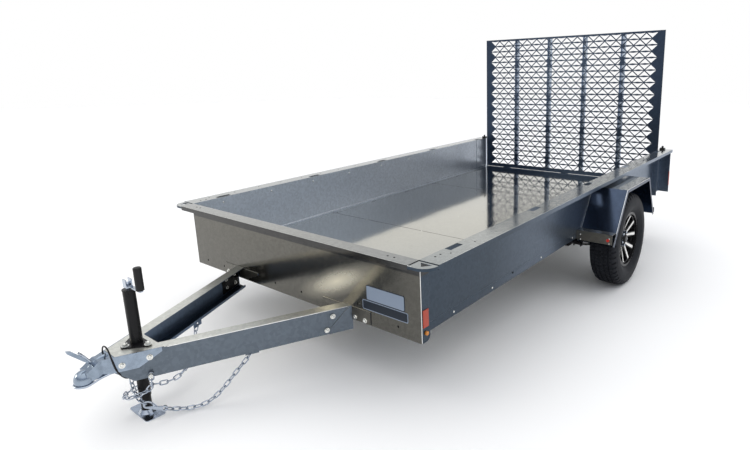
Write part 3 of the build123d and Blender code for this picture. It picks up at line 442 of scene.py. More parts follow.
# (finish, the CAD nodes that wear it)
NODE_FINISHES = (
    (steel["sides"], ("side_left", "side_right", "rear_post_left", "rear_post_right",
                      "post_liners", "corner_plates")),
    (steel["fender"], ("fender_left", "fender_right")),
    (steel["brace"], ("fender_braces",)),
    (steel["front"], ("front_wall",)),
    (steel["deck"], ("deck_front", "deck_middle", "deck_rear")),
    (steel["tongue"], ("tongue_left", "tongue_right", "tongue_brackets", "nose_plate")),
    (steel["gate"], ("gate_hinges", "hinge_knuckles")),
    (steel["ribs"], ("gate_ribs",)),
    (steel["under"], ("crossmembers", "front_beam", "rear_sill")),
    (zinc, ("jack_crank", "jack_foot", "safety_chains")),
    (zinc_body, ("coupler", "coupler_latch")),
    (black, ("jack_tube", "jack_leg", "axle", "leaf_springs", "spring_rails", "spring_clamps",
             "gate_latches")),
    (grip_rubber, ("jack_grip",)),
    (red_lens, ("tail_lamps", "reflectors")),
    (marker_lens, ("marker_lamps",)),
    (black_gloss, ("hub_left", "hub_right", "rim_left", "rim_right")),
)
for finish, names in NODE_FINISHES:
    for name in names:
        slots = frame["nodes"][name].data.materials
        slots.clear()
        slots.append(finish)


# ---- mesh helpers ----
def new_object(name, data):
    """Adds an object to the scene."""
    made = bpy.data.objects.new(name, data)
    bpy.context.collection.objects.link(made)
    return made


def piece(name, bm, material, body="chassis", place=PARK, smooth=False, sharp=35.0):
    """Turns a bmesh drawn on the level bed into a piece of the parked trailer."""
    bmesh.ops.remove_doubles(bm, verts=bm.verts, dist=JOIN)
    bmesh.ops.recalc_face_normals(bm, faces=bm.faces)
    bm.transform(place)
    mesh = bpy.data.meshes.new(name)
    for face in bm.faces:
        face.smooth = smooth
    bm.to_mesh(mesh)
    bm.free()
    mesh.materials.append(material)
    if smooth:
        mesh.set_sharp_from_angle(angle=math.radians(sharp))
    made = new_object(name, mesh)
    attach(made, body)
    return made


def new_corners(made):
    """The vertices among what a bmesh operator made."""
    return [item for item in made if isinstance(item, bmesh.types.BMVert)]


def solid(bm, x0, x1, y0, y1, z0, z1):
    """Adds a block, returned as its new vertices."""
    made = bmesh.ops.create_cube(bm, size=1.0)["verts"]
    bmesh.ops.scale(bm, verts=made, vec=(x1 - x0, y1 - y0, z1 - z0))
    bmesh.ops.translate(bm, verts=made, vec=((x0 + x1) / 2, (y0 + y1) / 2, (z0 + z1) / 2))
    return made


def plate(bm, x0, x1, y0, y1, z0, z1, corner):
    """Thin upright plate that faces lengthways, with rounded corners."""
    made = solid(bm, x0, x1, y0, y1, z0, z1)
    corners = {edge for vert in made for edge in vert.link_edges
               if abs((edge.verts[0].co - edge.verts[1].co).normalized().y) > 0.9}
    bmesh.ops.bevel(bm, geom=list(corners), offset=corner, segments=4, profile=0.5,
                    affect="EDGES", material=-1, clamp_overlap=True)


def lathe(bm, profile, steps):
    """Spins an (along, radius) profile about the X axis."""
    verts = [bm.verts.new((a, r, 0)) for a, r in profile]
    edges = [bm.edges.new(pair) for pair in zip(verts, verts[1:])]
    bmesh.ops.spin(bm, geom=verts + edges, cent=(0, 0, 0), axis=(1, 0, 0),
                   angle=2 * math.pi, steps=steps, use_merge=True)


def ring(profile, steps):
    """A closed (along, radius) profile spun about the X axis."""
    bm = bmesh.new()
    lathe(bm, profile + profile[:1], steps)
    return bm


def skin(bm, loops):
    """Faces between each loop of vertices and the next."""
    for near, far in zip(loops, loops[1:]):
        for k in range(len(near)):
            after = (k + 1) % len(near)
            bm.faces.new((near[k], near[after], far[after], far[k]))


def swept(points, radius, sides, runs):
    """Round bar along a smooth line through a few points, with `runs` steps from each on."""
    places = [Vector(point) for point in points]
    last = len(places) - 1
    spots = []
    for i in range(last):
        a, b, c, d = places[max(i - 1, 0)], places[i], places[i + 1], places[min(i + 2, last)]
        for k in range(runs):
            t = k / runs
            spots.append(0.5 * ((2 * b) + (c - a) * t + (2 * a - 5 * b + 4 * c - d) * t * t
                                + (3 * b - a - 3 * c + d) * t ** 3))
    spots.append(places[-1])
    bm = bmesh.new()
    loops = []
    normal = Vector((0.3, 0.2, 1.0))
    for i, spot in enumerate(spots):
        run = (spots[min(i + 1, len(spots) - 1)] - spots[max(i - 1, 0)]).normalized()
        normal = (normal - run * normal.dot(run)).normalized()
        other = run.cross(normal)
        loops.append([bm.verts.new(spot + radius * (math.cos(a) * normal + math.sin(a) * other))
                      for a in (2 * math.pi * k / sides for k in range(sides))])
    skin(bm, loops)
    bm.faces.new(loops[0][::-1])
    bm.faces.new(loops[-1])
    return bm


def cone(bm, seat, sides, low_radius, high_radius, foot, height):
    """Capped cone or prism that starts at a height above its seat."""
    bmesh.ops.create_cone(bm, cap_ends=True, segments=sides, radius1=low_radius,
                          radius2=high_radius, depth=height,
                          matrix=seat @ Matrix.Translation((0, 0, foot + height / 2)))


def seated(place, axis):
    """Matrix that stands something drawn upright at a place, along an axis."""
    turn = Vector(axis).to_track_quat("Z", "Y").to_matrix().to_4x4()
    return Matrix.Translation(place) @ turn


WASHER_THICK = 0.0015


def hex_head(bm, place, axis, radius, height, washer):
    """Hexagon head with a domed top, on a washer unless its radius is 0."""
    seat = seated(place, axis)
    foot = 0.0
    if washer:
        foot = WASHER_THICK
        cone(bm, seat, 24, washer, washer, 0.0, foot)
    cone(bm, seat, 6, radius, radius, foot, height)
    cone(bm, seat, 12, radius * 0.62, radius * 0.3, foot + height, height * 0.35)


def round_head(bm, place, axis, radius, height):
    """Low domed head of a rivet, or the near-black disc that paints the shade inside a hole."""
    seat = seated(place, axis)
    cone(bm, seat, 14, radius, radius * 0.8, 0.0, height * 0.6)
    cone(bm, seat, 14, radius * 0.8, radius * 0.35, height * 0.6, height * 0.4)


# ---- ramp gate ----
GATE_ROWS = 24
GATE_COLUMNS = 16
GATE_FIELD = 0.888  # half width of the punched field
GATE_FOOT_MARGIN = 0.034
GATE_HEAD_MARGIN = 0.013
GATE_BAR = 0.0180
NEAR = 1e-4


def split_into_triangles(bm):
    """Cuts each square of a unit grid along a diagonal, then joins the halves into pairs."""
    bm.faces.ensure_lookup_table()
    for face in list(bm.faces):
        corners = sorted(face.verts, key=lambda v: (v.co.y, v.co.x))
        column = round((corners[0].co.x + 0.5) * 2 * GATE_COLUMNS)
        row = round((corners[0].co.y + 0.5) * GATE_ROWS)
        pair = (corners[0], corners[3]) if (column + row) % 2 == 0 else (corners[1], corners[2])
        bmesh.ops.connect_verts(bm, verts=list(pair))
    upright = [edge for edge in bm.edges if len(edge.link_faces) == 2
               and abs(edge.verts[0].co.x - edge.verts[1].co.x) < JOIN]
    bmesh.ops.dissolve_edges(bm, edges=upright, use_verts=False)


def gate_mesh():
    """Punched sheet: triangles cut from a lattice, and a plain margin around them."""
    low = GATE_LOW + GATE_FOOT_MARGIN
    high = GATE_HIGH - GATE_HEAD_MARGIN

    def on_side(vert):
        return abs(abs(vert.co.x) - GATE_FIELD) < NEAR

    def on_foot(vert):
        return abs(vert.co.z - low) < NEAR

    def on_head(vert):
        return abs(vert.co.z - high) < NEAR

    bm = bmesh.new()
    bmesh.ops.create_grid(bm, x_segments=2 * GATE_COLUMNS, y_segments=GATE_ROWS, size=0.5)
    split_into_triangles(bm)
    bmesh.ops.scale(bm, verts=bm.verts, vec=(2 * GATE_FIELD, high - low, 1))
    bmesh.ops.rotate(bm, verts=bm.verts, cent=(0, 0, 0),
                     matrix=Matrix.Rotation(math.pi / 2, 3, "X"))
    bmesh.ops.translate(bm, verts=bm.verts, vec=(0, GATE_FACE, (low + high) / 2))
    punched = [face for face in bm.faces
               if all(abs(v.co.x) < GATE_FIELD - NEAR for v in face.verts)
               or len({round(v.co.x, 4) for v in face.verts}) == 3]
    bmesh.ops.inset_individual(bm, faces=punched, thickness=GATE_BAR / 2)
    bmesh.ops.delete(bm, geom=punched, context="FACES")
    border = [edge for edge in bm.edges if len(edge.link_faces) == 1
              and any(all(test(v) for v in edge.verts) for test in (on_side, on_foot, on_head))]
    grown = bmesh.ops.extrude_edge_only(bm, edges=border)["geom"]
    for vert in new_corners(grown):
        if on_side(vert):
            vert.co.x = math.copysign(GATE_HALF, vert.co.x)
        if on_foot(vert):
            vert.co.z = GATE_LOW
        if on_head(vert):
            vert.co.z = GATE_HIGH
    bmesh.ops.remove_doubles(bm, verts=bm.verts, dist=1e-5)
    bmesh.ops.solidify(bm, geom=list(bm.faces), thickness=GATE_SHEET)
    return bm


gate = piece("gate_punched_sheet", gate_mesh(), steel["gate"], "gate")
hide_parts("gate_sheet")

# ---- wheels ----
# Drawn about the wheel's own centre, +X outward. Profiles are (across, radius).
TYRE_STEPS = 144
# the tread's outside half: a middle rib, then two grooves with a rib after each
TREAD_HALF = ((0.0, 0.3410), (0.0120, 0.3410), (0.0140, 0.3330), (0.0215, 0.3330),
              (0.0235, 0.3408), (0.0430, 0.3404), (0.0450, 0.3320), (0.0520, 0.3320),
              (0.0540, 0.3396), (0.0700, 0.3372), (0.0800, 0.3330), (0.0880, 0.3240))
SIDEWALL = ((0.0935, 0.3100), (0.0975, 0.2960), (0.0985, 0.2950), (0.1000, 0.2850),
            (0.1014, 0.2640), (0.1014, 0.2560), (0.1000, 0.2470), (0.0965, 0.2380),
            (0.0955, 0.2372), (0.0900, 0.2240), (0.0790, 0.2090), (0.0790, 0.2060),
            (0.0740, 0.2040), (0.0700, 0.1960), (0.0660, 0.1905))
SHOULDER_FROM, SHOULDER_TO = 0.070, 0.094
SHOULDER_LOW = 0.315  # lugs are cut outside this radius
RIB_LOW = 0.3365  # sipes are cut outside this radius
GROOVE_EVERY = 3  # tyre steps from one cut between lugs to the next
GROOVE_INSET, GROOVE_DEPTH = 0.0012, 0.0055
SIPE_INSET, SIPE_DEPTH = 0.0040, 0.0035

SPOKE_PAIRS = 5
PAIR_TURN = 360 / SPOKE_PAIRS
# (radius, first angle, last angle) across one spoke's face, beside a window at 0 degrees
SPOKE_STATIONS = ((0.068, 5.0, 16.0), (0.090, 7.5, 18.0), (0.120, 11.0, 20.0),
                  (0.150, 13.5, 21.2), (0.172, 15.0, 21.8))
SPOKE_PLATE = 0.003
SPOKE_PROUD = 0.0022
DISH_FACE, DISH_FROM = 0.034, 0.062
DISH_RISE, DISH_RUN = 0.030, 0.1165

# (name, profile, steps round, finish, sharpest edge that stays smooth, in degrees)
WHEEL_RINGS = (
    ("rim_lip", [(0.0712, 0.1900), (0.0748, 0.1925), (0.0758, 0.1950), (0.0752, 0.1998),
                 (0.0720, 0.2010), (0.0700, 0.1990)], 96, machined, 40),
    ("hub_cap", [(0.0340, 0.0), (0.0340, 0.0345), (0.0420, 0.0345), (0.0560, 0.0290),
                 (0.0610, 0.0230), (0.0620, 0.0)], 48, black_gloss, 30),
    ("hub_cap_band", [(0.0400, 0.0348), (0.0440, 0.0352), (0.0440, 0.0335),
                      (0.0400, 0.0335)], 48, machined, 30),
)
NUT_SEAT = 0.0345
NUT_CIRCLE = 0.0490
NUT_START = 54  # degrees
WHEEL_NUT = (0.0098, 0.014, 0.012)  # corner radius, height, washer radius
VALVE_PLACE = (0.056, 0.1640, 0.0400)
VALVE_STEM = (0.0045, 0.016)  # radius, height
OUTWARD = (1, 0, 0)


def on_wheel(side):
    """Matrix that puts a wheel on its side of the parked trailer."""
    flip = Matrix.Scale(side, 4, (1, 0, 0))
    return PARK @ Matrix.Translation((side * WHEEL_X, AXLE_Y, TYRE_RADIUS)) @ flip


def tyre_mesh():
    """Tyre with ribs, sipes on each rib and cuts between the shoulders' lugs."""
    half = TREAD_HALF + SIDEWALL
    bm = ring([(-a, r) for a, r in half[::-1]] + list(half[1:]), TYRE_STEPS)
    bmesh.ops.remove_doubles(bm, verts=bm.verts, dist=JOIN)
    bmesh.ops.recalc_face_normals(bm, faces=bm.faces)
    grooves, sipes = [], []
    for face in bm.faces:
        middle = face.calc_center_median()
        across = abs(middle.x)
        radius = math.hypot(middle.y, middle.z)
        step = round(math.atan2(middle.z, middle.y) / (2 * math.pi) * TYRE_STEPS - 0.5)
        shoulder = SHOULDER_FROM < across < SHOULDER_TO and radius > SHOULDER_LOW
        rib = across < SHOULDER_FROM and radius > RIB_LOW
        if shoulder and step % GROOVE_EVERY == 0:
            grooves.append(face)
        elif rib and (step + int(middle.x > 0)) % 2 == 0:
            sipes.append(face)
    bmesh.ops.inset_region(bm, faces=grooves, thickness=GROOVE_INSET, depth=-GROOVE_DEPTH)
    bmesh.ops.inset_individual(bm, faces=sipes, thickness=SIPE_INSET, depth=-SIPE_DEPTH)
    return bm


def dish_x(radius):
    """Outer face of the wheel's dish."""
    return DISH_FACE + max(radius - DISH_FROM, 0.0) * DISH_RISE / DISH_RUN


def spoke_faces():
    """Bright machined plates on the ten spokes, set in from the black edges."""
    bm = bmesh.new()
    for pair in range(SPOKE_PAIRS):
        for way in (-1, 1):
            strip = []
            for radius, first, last in SPOKE_STATIONS:
                angles = [math.radians(90 + PAIR_TURN * pair + way * angle)
                          for angle in (first, last)]
                strip.append([bm.verts.new((dish_x(radius) + SPOKE_PROUD, radius * math.cos(a),
                                            radius * math.sin(a))) for a in angles])
            faces = [bm.faces.new((near[0], near[1], far[1], far[0]))
                     for near, far in zip(strip, strip[1:])]
            bmesh.ops.solidify(bm, geom=faces, thickness=SPOKE_PLATE)
    return bm


def wheel_nuts():
    """One nut between each two pairs of spokes."""
    bm = bmesh.new()
    for k in range(SPOKE_PAIRS):
        a = math.radians(NUT_START + PAIR_TURN * k)
        place = (NUT_SEAT, NUT_CIRCLE * math.cos(a), NUT_CIRCLE * math.sin(a))
        hex_head(bm, place, OUTWARD, *WHEEL_NUT)
    return bm


for side, label in ((1, "left"), (-1, "right")):
    body = "wheel_" + label
    place = on_wheel(side)
    tyre = piece(f"tyre_{label}_tread", tyre_mesh(), rubber, body, place, True, 28)
    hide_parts("tyre_" + label)
    piece("spoke_faces_" + label, spoke_faces(), machined, body, place)
    for name, profile, steps, finish, sharp in WHEEL_RINGS:
        piece(f"{name}_{label}", ring(profile, steps), finish, body, place, True, sharp)
    piece("wheel_nuts_" + label, wheel_nuts(), zinc, body, place)
    stem = bmesh.new()
    round_head(stem, VALVE_PLACE, OUTWARD, *VALVE_STEM)
    piece("valve_stem_" + label, stem, black, body, place)

# ---- holes, rivets and seams ----
UP = (0, 0, 1)
FORWARD = (0, -1, 0)
SUNK = 0.0002  # how far a hole's disc starts inside its sheet
# (radius, height) of each kind of disc or head
FRONT_HOLE = (0.0062, 0.0016)
RAIL_HOLE = (0.0045, 0.0012)
CORNER_HOLE = (0.0055, 0.0012)
SIDE_HOLE = (0.007, 0.0016)
DECK_HOLE = (0.0050, 0.0016)
LIP_RIVET = (0.0062, 0.003)
SIDE_RIVET = (0.0060, 0.003)
DECK_RIVET = (0.0050, 0.0012)
BRACE_RIVET = (0.0058, 0.004)
FENDER_RIVET = (0.0045, 0.003)

# (x, z) of the holes in the front wall
FRONT_HOLES = ((-0.843, 0.426), (-0.654, 0.424), (-0.561, 0.444), (-0.351, 0.432),
               (-0.289, 0.439), (-0.126, 0.433), (0.107, 0.435), (0.319, 0.431),
               (0.815, 0.433), (-0.145, 0.743), (-0.071, 0.744))
RAIL_HOLES = [0.235 + 0.2 * k for k in range(17)]
RAIL_HOLE_OUT = 0.064  # from the wall's inner face to the rail's middle
SLOT_CLEAR = 0.065  # no hole nearer than this to a stake slot
# (x, y) of the holes near the rail's left front corner
CORNER_HOLES = ((0.9875, 0.155), (0.9875, 0.195), (0.80, 0.045), (0.84, 0.045))
SIDE_HOLE_PLACE = (0.921, 0.462)
DECK_HOLE_IN = 0.034
DECK_HOLE_SHIFTS = (-0.022, 0.0, 0.022)
LIP_RIVETS = [0.300 + 0.40 * k for k in range(9)]
LIP_RIVET_HEIGHT = 0.758
SIDE_RIVET_SINK = 0.0027
SIDE_RIVET_RISE = 0.020
DECK_RIVETS = (-0.55, 0.0, 0.55)

# near-black discs in the holes: painted shade of their insides
holes = bmesh.new()
for x, z in FRONT_HOLES:
    round_head(holes, (x, FRONT_FACE - SUNK, z), FORWARD, *FRONT_HOLE)
for side in (-1, 1):
    for y in RAIL_HOLES:
        if min(abs(y - slot) for slot in STAKE_SLOTS) > SLOT_CLEAR:
            round_head(holes, (side * (HALF_INSIDE + RAIL_HOLE_OUT), y, RAIL_TOP), UP, *RAIL_HOLE)
    for x, y in CORNER_HOLES:
        round_head(holes, (side * x, y, RAIL_TOP), UP, *CORNER_HOLE)
    round_head(holes, (side * (WALL_FACE - SUNK), *SIDE_HOLE_PLACE), (side, 0, 0), *SIDE_HOLE)
    for y in CROSSMEMBERS:
        for shift in DECK_HOLE_SHIFTS:
            place = (side * (HALF_INSIDE - DECK_HOLE_IN), y + shift, DECK_TOP)
            round_head(holes, place, UP, *DECK_HOLE)
piece("drilled_holes", holes, hole_shade_and_seams)

rivets = bmesh.new()
for side in (-1, 1):
    for y in LIP_RIVETS:
        place = (side * (HALF_INSIDE - SUNK), y, LIP_RIVET_HEIGHT)
        round_head(rivets, place, (-side, 0, 0), *LIP_RIVET)
    for y in CROSSMEMBERS:
        place = (side * (WALL_FACE - SIDE_RIVET_SINK), y, SIDE_BOTTOM + SIDE_RIVET_RISE)
        round_head(rivets, place, (side, 0, 0), *SIDE_RIVET)
for y in CROSSMEMBERS:
    for x in DECK_RIVETS:
        round_head(rivets, (x, y, DECK_TOP), UP, *DECK_RIVET)
piece("panel_rivets", rivets, bolt_zinc)

SEAM_HALF = 0.948
SEAM_HALF_WIDTH = 0.0014
SEAM_SINK, SEAM_PROUD = 0.0005, 0.0004
seams = bmesh.new()
for y in DECK_SEAMS:
    solid(seams, -SEAM_HALF, SEAM_HALF, y - SEAM_HALF_WIDTH, y + SEAM_HALF_WIDTH,
          DECK_TOP - SEAM_SINK, DECK_TOP + SEAM_PROUD)
piece("deck_seams", seams, hole_shade_and_seams)


# ---- tongue bolts and brackets ----
def edge_x(y):
    """Outer face of the left tongue member."""
    return (y + TONGUE_APEX) * TONGUE_SLOPE


def on_web(side, y, z, out, lift):
    """Place on a tongue member's outer face, lifted along the way out from it."""
    return Vector((side * edge_x(y), y, z)) + out * lift


slant = math.atan(TONGUE_SLOPE)
# (corner radius, height, washer radius) of each kind of bolt head
FRAME_BOLT = (0.0095, 0.008, 0.0135)
CHAIN_BOLT = (0.0100, 0.007, 0.0)
WALL_BOLT = (0.0090, 0.007, 0.013)
JACK_BOLT = (0.0115, 0.010, 0.0165)
BRACKET_BOLT = (0.0085, 0.007, 0.0125)

# (y, z, lift) of the bolts through the tongue's webs: two at the coupler, two at the bracket
FRAME_BOLTS = ((-0.855, 0.420, 0.0043), (-0.757, 0.430, 0.0043), (-0.043, 0.358, 0.0042),
               (-0.012, 0.425, 0.0042))
CHAIN_BOLT_PLACE = (-0.762, 0.350)
CHAIN_BOLT_LIFT = 0.020
WALL_BOLTS = (0.53, 0.60)
WALL_BOLT_LIFT = 0.0042
WALL_BOLT_HEIGHT = 0.405
JACK_BOLTS = ((-0.066, 0.020), (0.066, 0.020), (0.0, -0.050))  # (x, y) from the jack
JACK_FLANGE_TOP = 0.4701

bolts = bmesh.new()
for side in (-1, 1):
    out = Vector((side * math.cos(slant), -math.sin(slant), 0))
    for y, z, lift in FRAME_BOLTS:
        hex_head(bolts, on_web(side, y, z, out, lift), out, *FRAME_BOLT)
    place = on_web(side, *CHAIN_BOLT_PLACE, out, CHAIN_BOLT_LIFT)
    hex_head(bolts, place, out, *CHAIN_BOLT)
    for x in WALL_BOLTS:
        place = (side * x, FRONT_FACE - WALL_BOLT_LIFT, WALL_BOLT_HEIGHT)
        hex_head(bolts, place, FORWARD, *WALL_BOLT)
for x, y in JACK_BOLTS:
    hex_head(bolts, (x, JACK_Y + y, JACK_FLANGE_TOP), UP, *JACK_BOLT)
piece("nose_bolts", bolts, bolt_zinc)

BRACKET_FRONT, BRACKET_BACK = -0.085, 0.066
BRACKET_FOOT, BRACKET_HEAD = 0.345, 0.450
BRACKET_SHEET = 0.004
BRACKET_GAP = 0.0005
BRACKET_BOLT_YS = (0.030, -0.050)
BRACKET_BOLT_ZS = (0.372, 0.425)
brackets = bmesh.new()
bracket_bolts = bmesh.new()
for side in (-1, 1):
    inward = Vector((-side * math.cos(slant), math.sin(slant), 0))
    corners = [brackets.verts.new(on_web(side, y, z, inward, TONGUE_WEB + BRACKET_GAP))
               for y, z in ((BRACKET_BACK, BRACKET_FOOT), (BRACKET_FRONT, BRACKET_FOOT),
                            (BRACKET_FRONT, BRACKET_HEAD), (BRACKET_BACK, BRACKET_HEAD))]
    leaf = bmesh.ops.extrude_face_region(brackets, geom=[brackets.faces.new(corners)])["geom"]
    for vert in new_corners(leaf):
        vert.co += inward * BRACKET_SHEET
    for y in BRACKET_BOLT_YS:
        for z in BRACKET_BOLT_ZS:
            place = on_web(side, y, z, inward, TONGUE_WEB + BRACKET_SHEET + BRACKET_GAP)
            hex_head(bracket_bolts, place, inward, *BRACKET_BOLT)
piece("inner_brackets", brackets, black)
piece("inner_bracket_bolts", bracket_bolts, bolt_zinc)

# ---- nose lead ----
# up out of the tongue, over the coupler's neck and back under its near side
NOSE_LEAD = ((-0.030, -0.800, 0.390), (-0.052, -0.836, 0.352), (-0.064, -0.868, 0.395),
             (-0.057, -0.884, 0.455), (-0.026, -0.888, 0.498), (0.012, -0.888, 0.505),
             (0.043, -0.889, 0.482), (0.055, -0.888, 0.445), (0.056, -0.880, 0.405),
             (0.052, -0.858, 0.362), (0.044, -0.830, 0.338), (0.030, -0.802, 0.352),
             (0.020, -0.796, 0.400))
LEAD_DIAMETER = 0.0068
lead_curve = bpy.data.curves.new("nose_lead", "CURVE")
lead_curve.dimensions = "3D"
lead_line = lead_curve.splines.new("NURBS")
lead_line.points.add(len(NOSE_LEAD) - 1)
for spot, place in zip(lead_line.points, NOSE_LEAD):
    spot.co = (*(PARK @ Vector(place)), 1.0)
lead_line.order_u = 3
lead_line.use_endpoint_u = True
lead_curve.bevel_depth = LEAD_DIAMETER / 2
lead_curve.use_fill_caps = True
lead_curve.materials.append(grip_rubber)
lead = new_object("nose_lead", lead_curve)
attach(lead, "chassis")

# ---- safety chains ----
LINK_SIDES = 8
LINK_BEND_STEPS = 7
LONGEST_LINK = 0.06  # the only longer solid is the hook


def link_mesh(inside, wire, width):
    """Welded round-wire link, flat in XY, its run along X."""
    bend = (width - wire) / 2
    straight = (inside + wire) / 2 - bend
    bm = bmesh.new()
    loops = []
    for end, start in ((1, -90), (-1, 90)):
        for k in range(LINK_BEND_STEPS + 1):
            turn = math.radians(start + 180 * k / LINK_BEND_STEPS)
            out = Vector((math.cos(turn), math.sin(turn), 0))
            spot = Vector((end * straight, 0, 0)) + bend * out
            loops.append([bm.verts.new(spot + wire / 2 * (math.cos(a) * out
                                                          + math.sin(a) * Vector(UP)))
                          for a in (2 * math.pi * i / LINK_SIDES for i in range(LINK_SIDES))])
    skin(bm, loops + loops[:1])
    return bm


def islands(mesh):
    """Vertex places of each loose solid in a mesh."""
    bm = bmesh.new()
    bm.from_mesh(mesh)
    bmesh.ops.remove_doubles(bm, verts=bm.verts, dist=JOIN)
    seen, groups = set(), []
    for first in bm.verts:
        group, front = [], [first]
        while front:
            vert = front.pop()
            if vert not in seen:
                seen.add(vert)
                group.append(vert.co.copy())
                front.extend(edge.other_vert(vert) for edge in vert.link_edges)
        if group:
            groups.append(group)
    bm.free()
    return groups


def link_frame(spots):
    """Matrix and (length, width, wire) of one link, from the spread of its corners."""
    centre = sum(spots, Vector()) / len(spots)
    spread = np.cov(np.array([spot - centre for spot in spots]).T)
    _, ways = np.linalg.eigh(spread)
    thin, across, along = (Vector(ways[:, k]) for k in range(3))
    if along.cross(across).dot(thin) < 0:
        thin = -thin
    sizes = [2 * max(abs((spot - centre).dot(way)) for spot in spots)
             for way in (along, across, thin)]
    turn = Matrix((along, across, thin)).transposed().to_4x4()
    return Matrix.Translation(centre) @ turn, sizes


def rounded(spot):
    """A vertex's place as a key that two copies of a mesh share."""
    return tuple(round(c, 5) for c in spot)


cad_chains = frame["nodes"]["safety_chains"].data
chains = bmesh.new()
for group in islands(cad_chains):
    place, (length, width, wire) = link_frame(group)
    if length > LONGEST_LINK:
        hook_places = {rounded(spot) for spot in group}
        continue
    one = link_mesh(length - 2 * wire, wire, width)
    one.transform(place)
    spare = bpy.data.meshes.new("one link")
    one.to_mesh(spare)
    one.free()
    chains.from_mesh(spare)
    bpy.data.meshes.remove(spare)
links = piece("chain_links", chains, zinc, place=Matrix.Identity(4), smooth=True, sharp=60)
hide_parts("safety_chains")

hook = bmesh.new()
hook.from_mesh(cad_chains)
others = [vert for vert in hook.verts if rounded(vert.co) not in hook_places]
bmesh.ops.delete(hook, geom=others, context="VERTS")
piece("chain_hook", hook, zinc, place=Matrix.Identity(4), smooth=True)

# ---- labels and reflectors ----
BACKING_EDGE, BACKING_PROUD, BACKING_CORNER = 0.004, 0.0009, 0.008
LABEL_SINK, LABEL_PROUD, LABEL_CORNER = 0.0005, 0.0013, 0.006
# (left, right, low, high, face, backing) of each blank label
LABELS = ((0.617, 0.857, 0.523, 0.594, label_pale, label_dark),
          (0.589, 0.875, 0.470, 0.513, label_dark, label_pale))
for k, (x0, x1, z0, z1, face, backing) in enumerate(LABELS):
    sheet = bmesh.new()
    plate(sheet, x0 - BACKING_EDGE, x1 + BACKING_EDGE, FRONT_FACE - BACKING_PROUD, FRONT_FACE,
          z0 - BACKING_EDGE, z1 + BACKING_EDGE, BACKING_CORNER)
    piece(f"label_backing_{k}", sheet, backing)
    sheet = bmesh.new()
    plate(sheet, x0, x1, FRONT_FACE - LABEL_PROUD, FRONT_FACE - LABEL_SINK, z0, z1,
          LABEL_CORNER)
    piece(f"label_{k}", sheet, face)

POST_FACES = (1.0493, 1.0522)
POST_REFLECTOR = (3.720, 3.7385, 0.455, 0.590, 0.002)  # front, back, foot, head, corner
reflectors = bmesh.new()
for side in (-1, 1):
    x0, x1 = sorted(side * x for x in POST_FACES)
    plate(reflectors, x0, x1, *POST_REFLECTOR)
piece("post_reflectors", reflectors, red_lens)

# ---- sill stop and painted edge glints ----
SILL_STOP = (-0.940, 0.940, 3.6880, 3.6920, DECK_TOP - 0.0005, DECK_TOP + 0.0150)
stop = bmesh.new()
solid(stop, *SILL_STOP)
piece("rear_sill_stop", stop, steel["gate"])

CORNER_EDGE = 0.9585  # painted glint along the cut edge where the front wall wraps each corner
CORNER_WIDE = 0.0012  # half width
CORNER_BOX = (FRONT_FACE - 0.0010, FRONT_FACE + 0.0012, FRONT_BOTTOM + 0.002, RAIL_TOP - 0.022)
FENDER_EDGES = (1.2068, WALL_FACE + 0.004)  # outer and inner edge, x
FENDER_LINE = ((2.718, 0.436), (2.566, 0.748), (2.071, 0.748), (1.830, 0.405))
EDGE_WIDE, EDGE_THICK = 0.0018, 0.0014  # half sizes
# near-white strips on the front wall's corners and the fenders' edges: painted glints
edges = bmesh.new()
for side in (-1, 1):
    x = side * CORNER_EDGE
    solid(edges, x - CORNER_WIDE, x + CORNER_WIDE, *CORNER_BOX)
    for x in FENDER_EDGES:
        for (ya, za), (yb, zb) in zip(FENDER_LINE, FENDER_LINE[1:]):
            run = Vector((0, yb - ya, zb - za))
            made = solid(edges, -EDGE_WIDE, EDGE_WIDE, -EDGE_THICK, EDGE_THICK, 0, run.length)
            turn = run.to_track_quat("Z", "X").to_matrix()
            for vert in made:
                vert.co = turn @ vert.co + Vector((side * x, ya, za))
piece("painted_edge_glints", edges, edge_glint)

# painted highlights: bright lines where the sheet's cut edge or outer fold catches the light
RAIL_LINE_X = RAIL_EDGE - 0.0014
RAIL_LINE_Z = RAIL_TOP - 0.0010
RAIL_LINE_ENDS = (0.115, 3.730)
RAIL_LINE_RADIUS = 0.0012
FRONT_LINE_Y = 0.0014
FRONT_LINE_ENDS = (-0.975, 0.975)
TONGUE_LINE_Z = TONGUE_TOP - 0.0012
TONGUE_LINE_ENDS = (-0.690, 0.060)
TONGUE_LINE_RADIUS = 0.0016
fold_glints = [([(x, FRONT_LINE_Y, RAIL_LINE_Z) for x in FRONT_LINE_ENDS], RAIL_LINE_RADIUS)]
for side in (-1, 1):
    rail_line = [(side * RAIL_LINE_X, y, RAIL_LINE_Z) for y in RAIL_LINE_ENDS]
    tongue_line = [(side * edge_x(y), y, TONGUE_LINE_Z) for y in TONGUE_LINE_ENDS]
    fold_glints += [(rail_line, RAIL_LINE_RADIUS), (tongue_line, TONGUE_LINE_RADIUS)]
for k, (ends, radius) in enumerate(fold_glints):
    piece(f"painted_fold_glint_{k}", swept(ends, radius, 8, 1), edge_glint, smooth=True)

